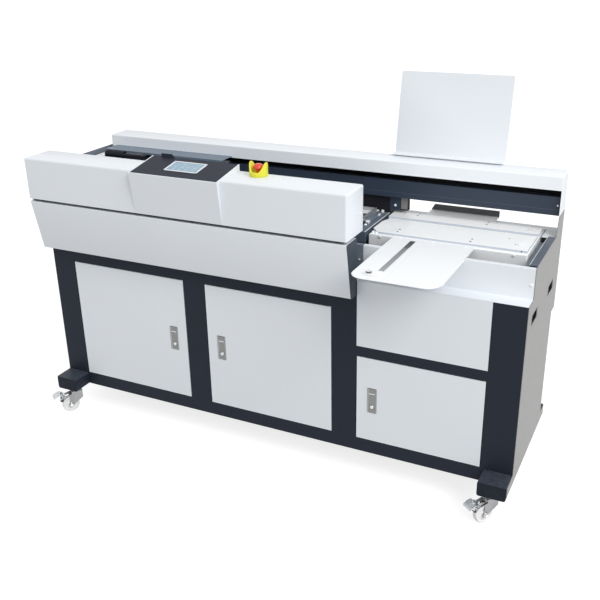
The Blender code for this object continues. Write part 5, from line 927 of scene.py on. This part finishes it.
# Two thin darker lines beside the slot are painted shade, drawn where the sheet has faint creases.
offset = tray_coat.part("X") - (left_end + 1.556)
crease_half, crease_gap = 0.0006, 0.021
creases = (abs(offset) < crease_half) + (abs(offset - crease_gap) < crease_half)
tray_coat.tint(creases * 0.3, (0.5, 0.53, 0.57))
dressed("cover_tray", tray_coat, 0.0004)
fasteners("tray_screws", "cover_tray", tray_coat, (0.0044, 0.0024, 0.0011), upwards,
          [at(x, y, 0.9268) for x, y in ((1.487, 0.186), (1.609, 0.185), (1.7275, 0.184))])
rule_steel = Finish("graduated steel", Metallic=1.0)
length = rule_steel.part("Y") - (door_plane - 0.208)
inwards = rule_steel.part("X") - (left_end + 1.53)
fine, coarse, tens = [
    (abs(length % pitch - pitch / 2) < half_line) * (inwards < reach)
    for pitch, half_line, reach in (
        (0.001, 0.00012, 0.004), (0.005, 0.00016, 0.006), (0.01, 0.0002, 0.0085))]
rule_steel.follow(rule_steel.noise(50.0, 5.0, (10.0, 0.4, 1.0)), (0.4, 0.41, 0.43),
                  (0.6, 0.61, 0.62), 0.28, 0.2)
rule_steel.tint((fine + coarse + tens).at_most(1.0) * 0.8, (0.03, 0.03, 0.035))
dressed("tray_rule", rule_steel, 0.0002, 1)
dressed("tray_stop", tray_coat, 0.0006, 3)
chrome_painted_shade = even_metal("chrome darkened as painted shade", (0.22, 0.225, 0.22), 0.24, 0.1, 500.0)
knob_foot = foot_of("stop_knob")
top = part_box("stop_knob")[1].z - knob_foot.z
grip_radius, knurls, knurl_depth = 0.0097, 36, 0.0003
shape = bmesh.new()
rings = []
for radius, height in ((0.003, 0.0), (0.003, 0.006), (0.0086, 0.006), (grip_radius, 0.0068),
                       (grip_radius, top - 0.0012), (0.0088, top - 0.0003), (0.0078, top),
                       (0.0052, top), (0.0046, top - 0.001), (0.0, top - 0.0012)):
    knurl = knurl_depth if radius == grip_radius else 0.0
    rings.append(turned_ring(shape, 144 if radius else 1, lambda angle: (
        radius + knurl * cos(knurls * angle), height)))
# The knob's top is bright aluminium as a painted reflection, its sides darker chrome as painted
# shade.
for face in walled(shape, rings).faces:
    face.material_index = 0 if face.normal.z > 0.7 else 1
bmesh.ops.translate(shape, vec=knob_foot, verts=shape.verts)
new_piece("knurled_knob", "stop_knob", [aluminium, chrome_painted_shade], shape, creases=30.0,
          replaced=True)

# Behind the table a smaller white tray with a black upstand takes the back half of the cover; the
# table rides on a square steel column, and the mains inlet sits low on the back.
tray_low, tray_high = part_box("rear_tray")
thick, turn, rise, slant = 0.002, 0.006, 0.0252, 0.6
bend = [step * pi / 12 for step in range(7)]
line = ([(tray_low.y, 0.0)]
        + [(tray_high.y - turn + turn * sin(angle), turn - turn * cos(angle))
           for angle in bend] + [(tray_high.y, rise)])
shape = bmesh.new()
rings = []
for index, (y, z) in enumerate(line):
    lie = min(max((index - 1) / 6, 0.0), 1.0) * pi / 2
    left, right = tray_low.x + slant * max(z - turn, 0.0), tray_high.x
    rings.append([shape.verts.new((x, y - inset * sin(lie), tray_low.z + z + inset * cos(lie)))
                  for x, inset in ((left, 0.0), (right, 0.0), (right, thick), (left, thick))])
# The upstand is black; the last few millimetres of floor and the bend fade from white to black as
# painted shade.
tray_with_painted_shade = powder_coat("white enamel with black upstand and painted shade", (0.94, 0.96, 0.98), 0.34)
painted_shade_start, painted_shade_run = tray_high.y - 0.011, 0.01
share = (tray_with_painted_shade.part("Y") - painted_shade_start) / painted_shade_run
tray_with_painted_shade.tint(share.at_least(0.0).at_most(1.0), (0.012, 0.013, 0.016))
new_piece("rear_tray_sheet", "rear_tray", tray_with_painted_shade, walled(shape, rings), creases=50.0,
          replaced=True)
dressed("lift_guide", brushed)
inlet_black = Finish("black inlet plastic", Base_Color=(0.016, 0.016, 0.018), Roughness=0.42)
inlet_black.grain(900.0, 0.00003, 0.6)
dressed("power_inlet", inlet_black, 0.0005)


# A pale floor keeps the machine's shadow and, with the surround, shows white to the camera and in
# polished metal. One large soft lamp stands high at the front right.
def looked_at(tree):
    """1 on rays from the camera, off a mirror or through glass, and 0 on the rest."""
    rays = tree.nodes.new("ShaderNodeLightPath")
    camera_ray, mirrored, passed = [Shade(tree, rays.outputs[name]) for name in (
        "Is Camera Ray", "Is Glossy Ray", "Is Transmission Ray")]
    return camera_ray.at_least(mirrored).at_least(passed)


floor_shape = bmesh.new()
bmesh.ops.create_grid(floor_shape, x_segments=1, y_segments=1, size=30.0)
floor = linked("studio_floor", to_mesh("studio_floor", floor_shape))
floor.location.z = -0.0005
floor_coat = Finish("studio floor", Base_Color=(0.42, 0.42, 0.42), Roughness=0.9,
                    Emission_Strength=1.0)
floor_coat.set(Emission_Color=floor_coat.blend(looked_at(floor_coat.tree), (0.0, 0.0, 0.0),
                                               (0.76, 0.76, 0.76)))
floor.data.materials.append(floor_coat.material)

world = bpy.data.worlds.new("studio")
world.use_nodes = True
sky = world.node_tree.nodes["Background"]
ambient = 0.75
fill(world.node_tree, sky.inputs["Color"], (1.0, 1.0, 1.0))
fill(world.node_tree, sky.inputs["Strength"],
     ambient + looked_at(world.node_tree) * (1.0 - ambient))
bpy.context.scene.world = world

lamp = bpy.data.lights.new("key", "AREA")
lamp.shape = "SQUARE"
lamp.size = 5.6
lamp.energy = 660.0
holder = linked("key", lamp)
holder.location = (7.4, -4.2, 7.6)
holder.rotation_mode = "QUATERNION"
lit_spot = Vector((0.0, 0.1, 0.9))
holder.rotation_quaternion = (lit_spot - holder.location).to_track_quat("-Z", "Y")

# The photograph's camera stands high at the front right, and is found from the machine's corners.
# It looks down and to the left, with a slight roll.
yaw, pitch, roll = radians(26.543), radians(23.2), radians(-1.13)
ahead = Vector((-sin(yaw) * cos(pitch), cos(yaw) * cos(pitch), -sin(pitch)))
level = Vector((cos(yaw), sin(yaw), 0.0))
upright = level.cross(ahead)
right = cos(roll) * level + sin(roll) * upright
above = -sin(roll) * level + cos(roll) * upright
lens = bpy.data.cameras.new("camera")
lens.lens = 49.87
lens.sensor_width = 36.0
camera = linked("camera", lens)
camera.matrix_world = (Matrix.Translation(at(2.4311, -2.5246, 1.9111))
                       @ Matrix((right, above, -ahead)).transposed().to_4x4())
bpy.context.scene.camera = camera

bpy.context.scene.view_settings.view_transform = "Standard"
bpy.context.view_layer.update()
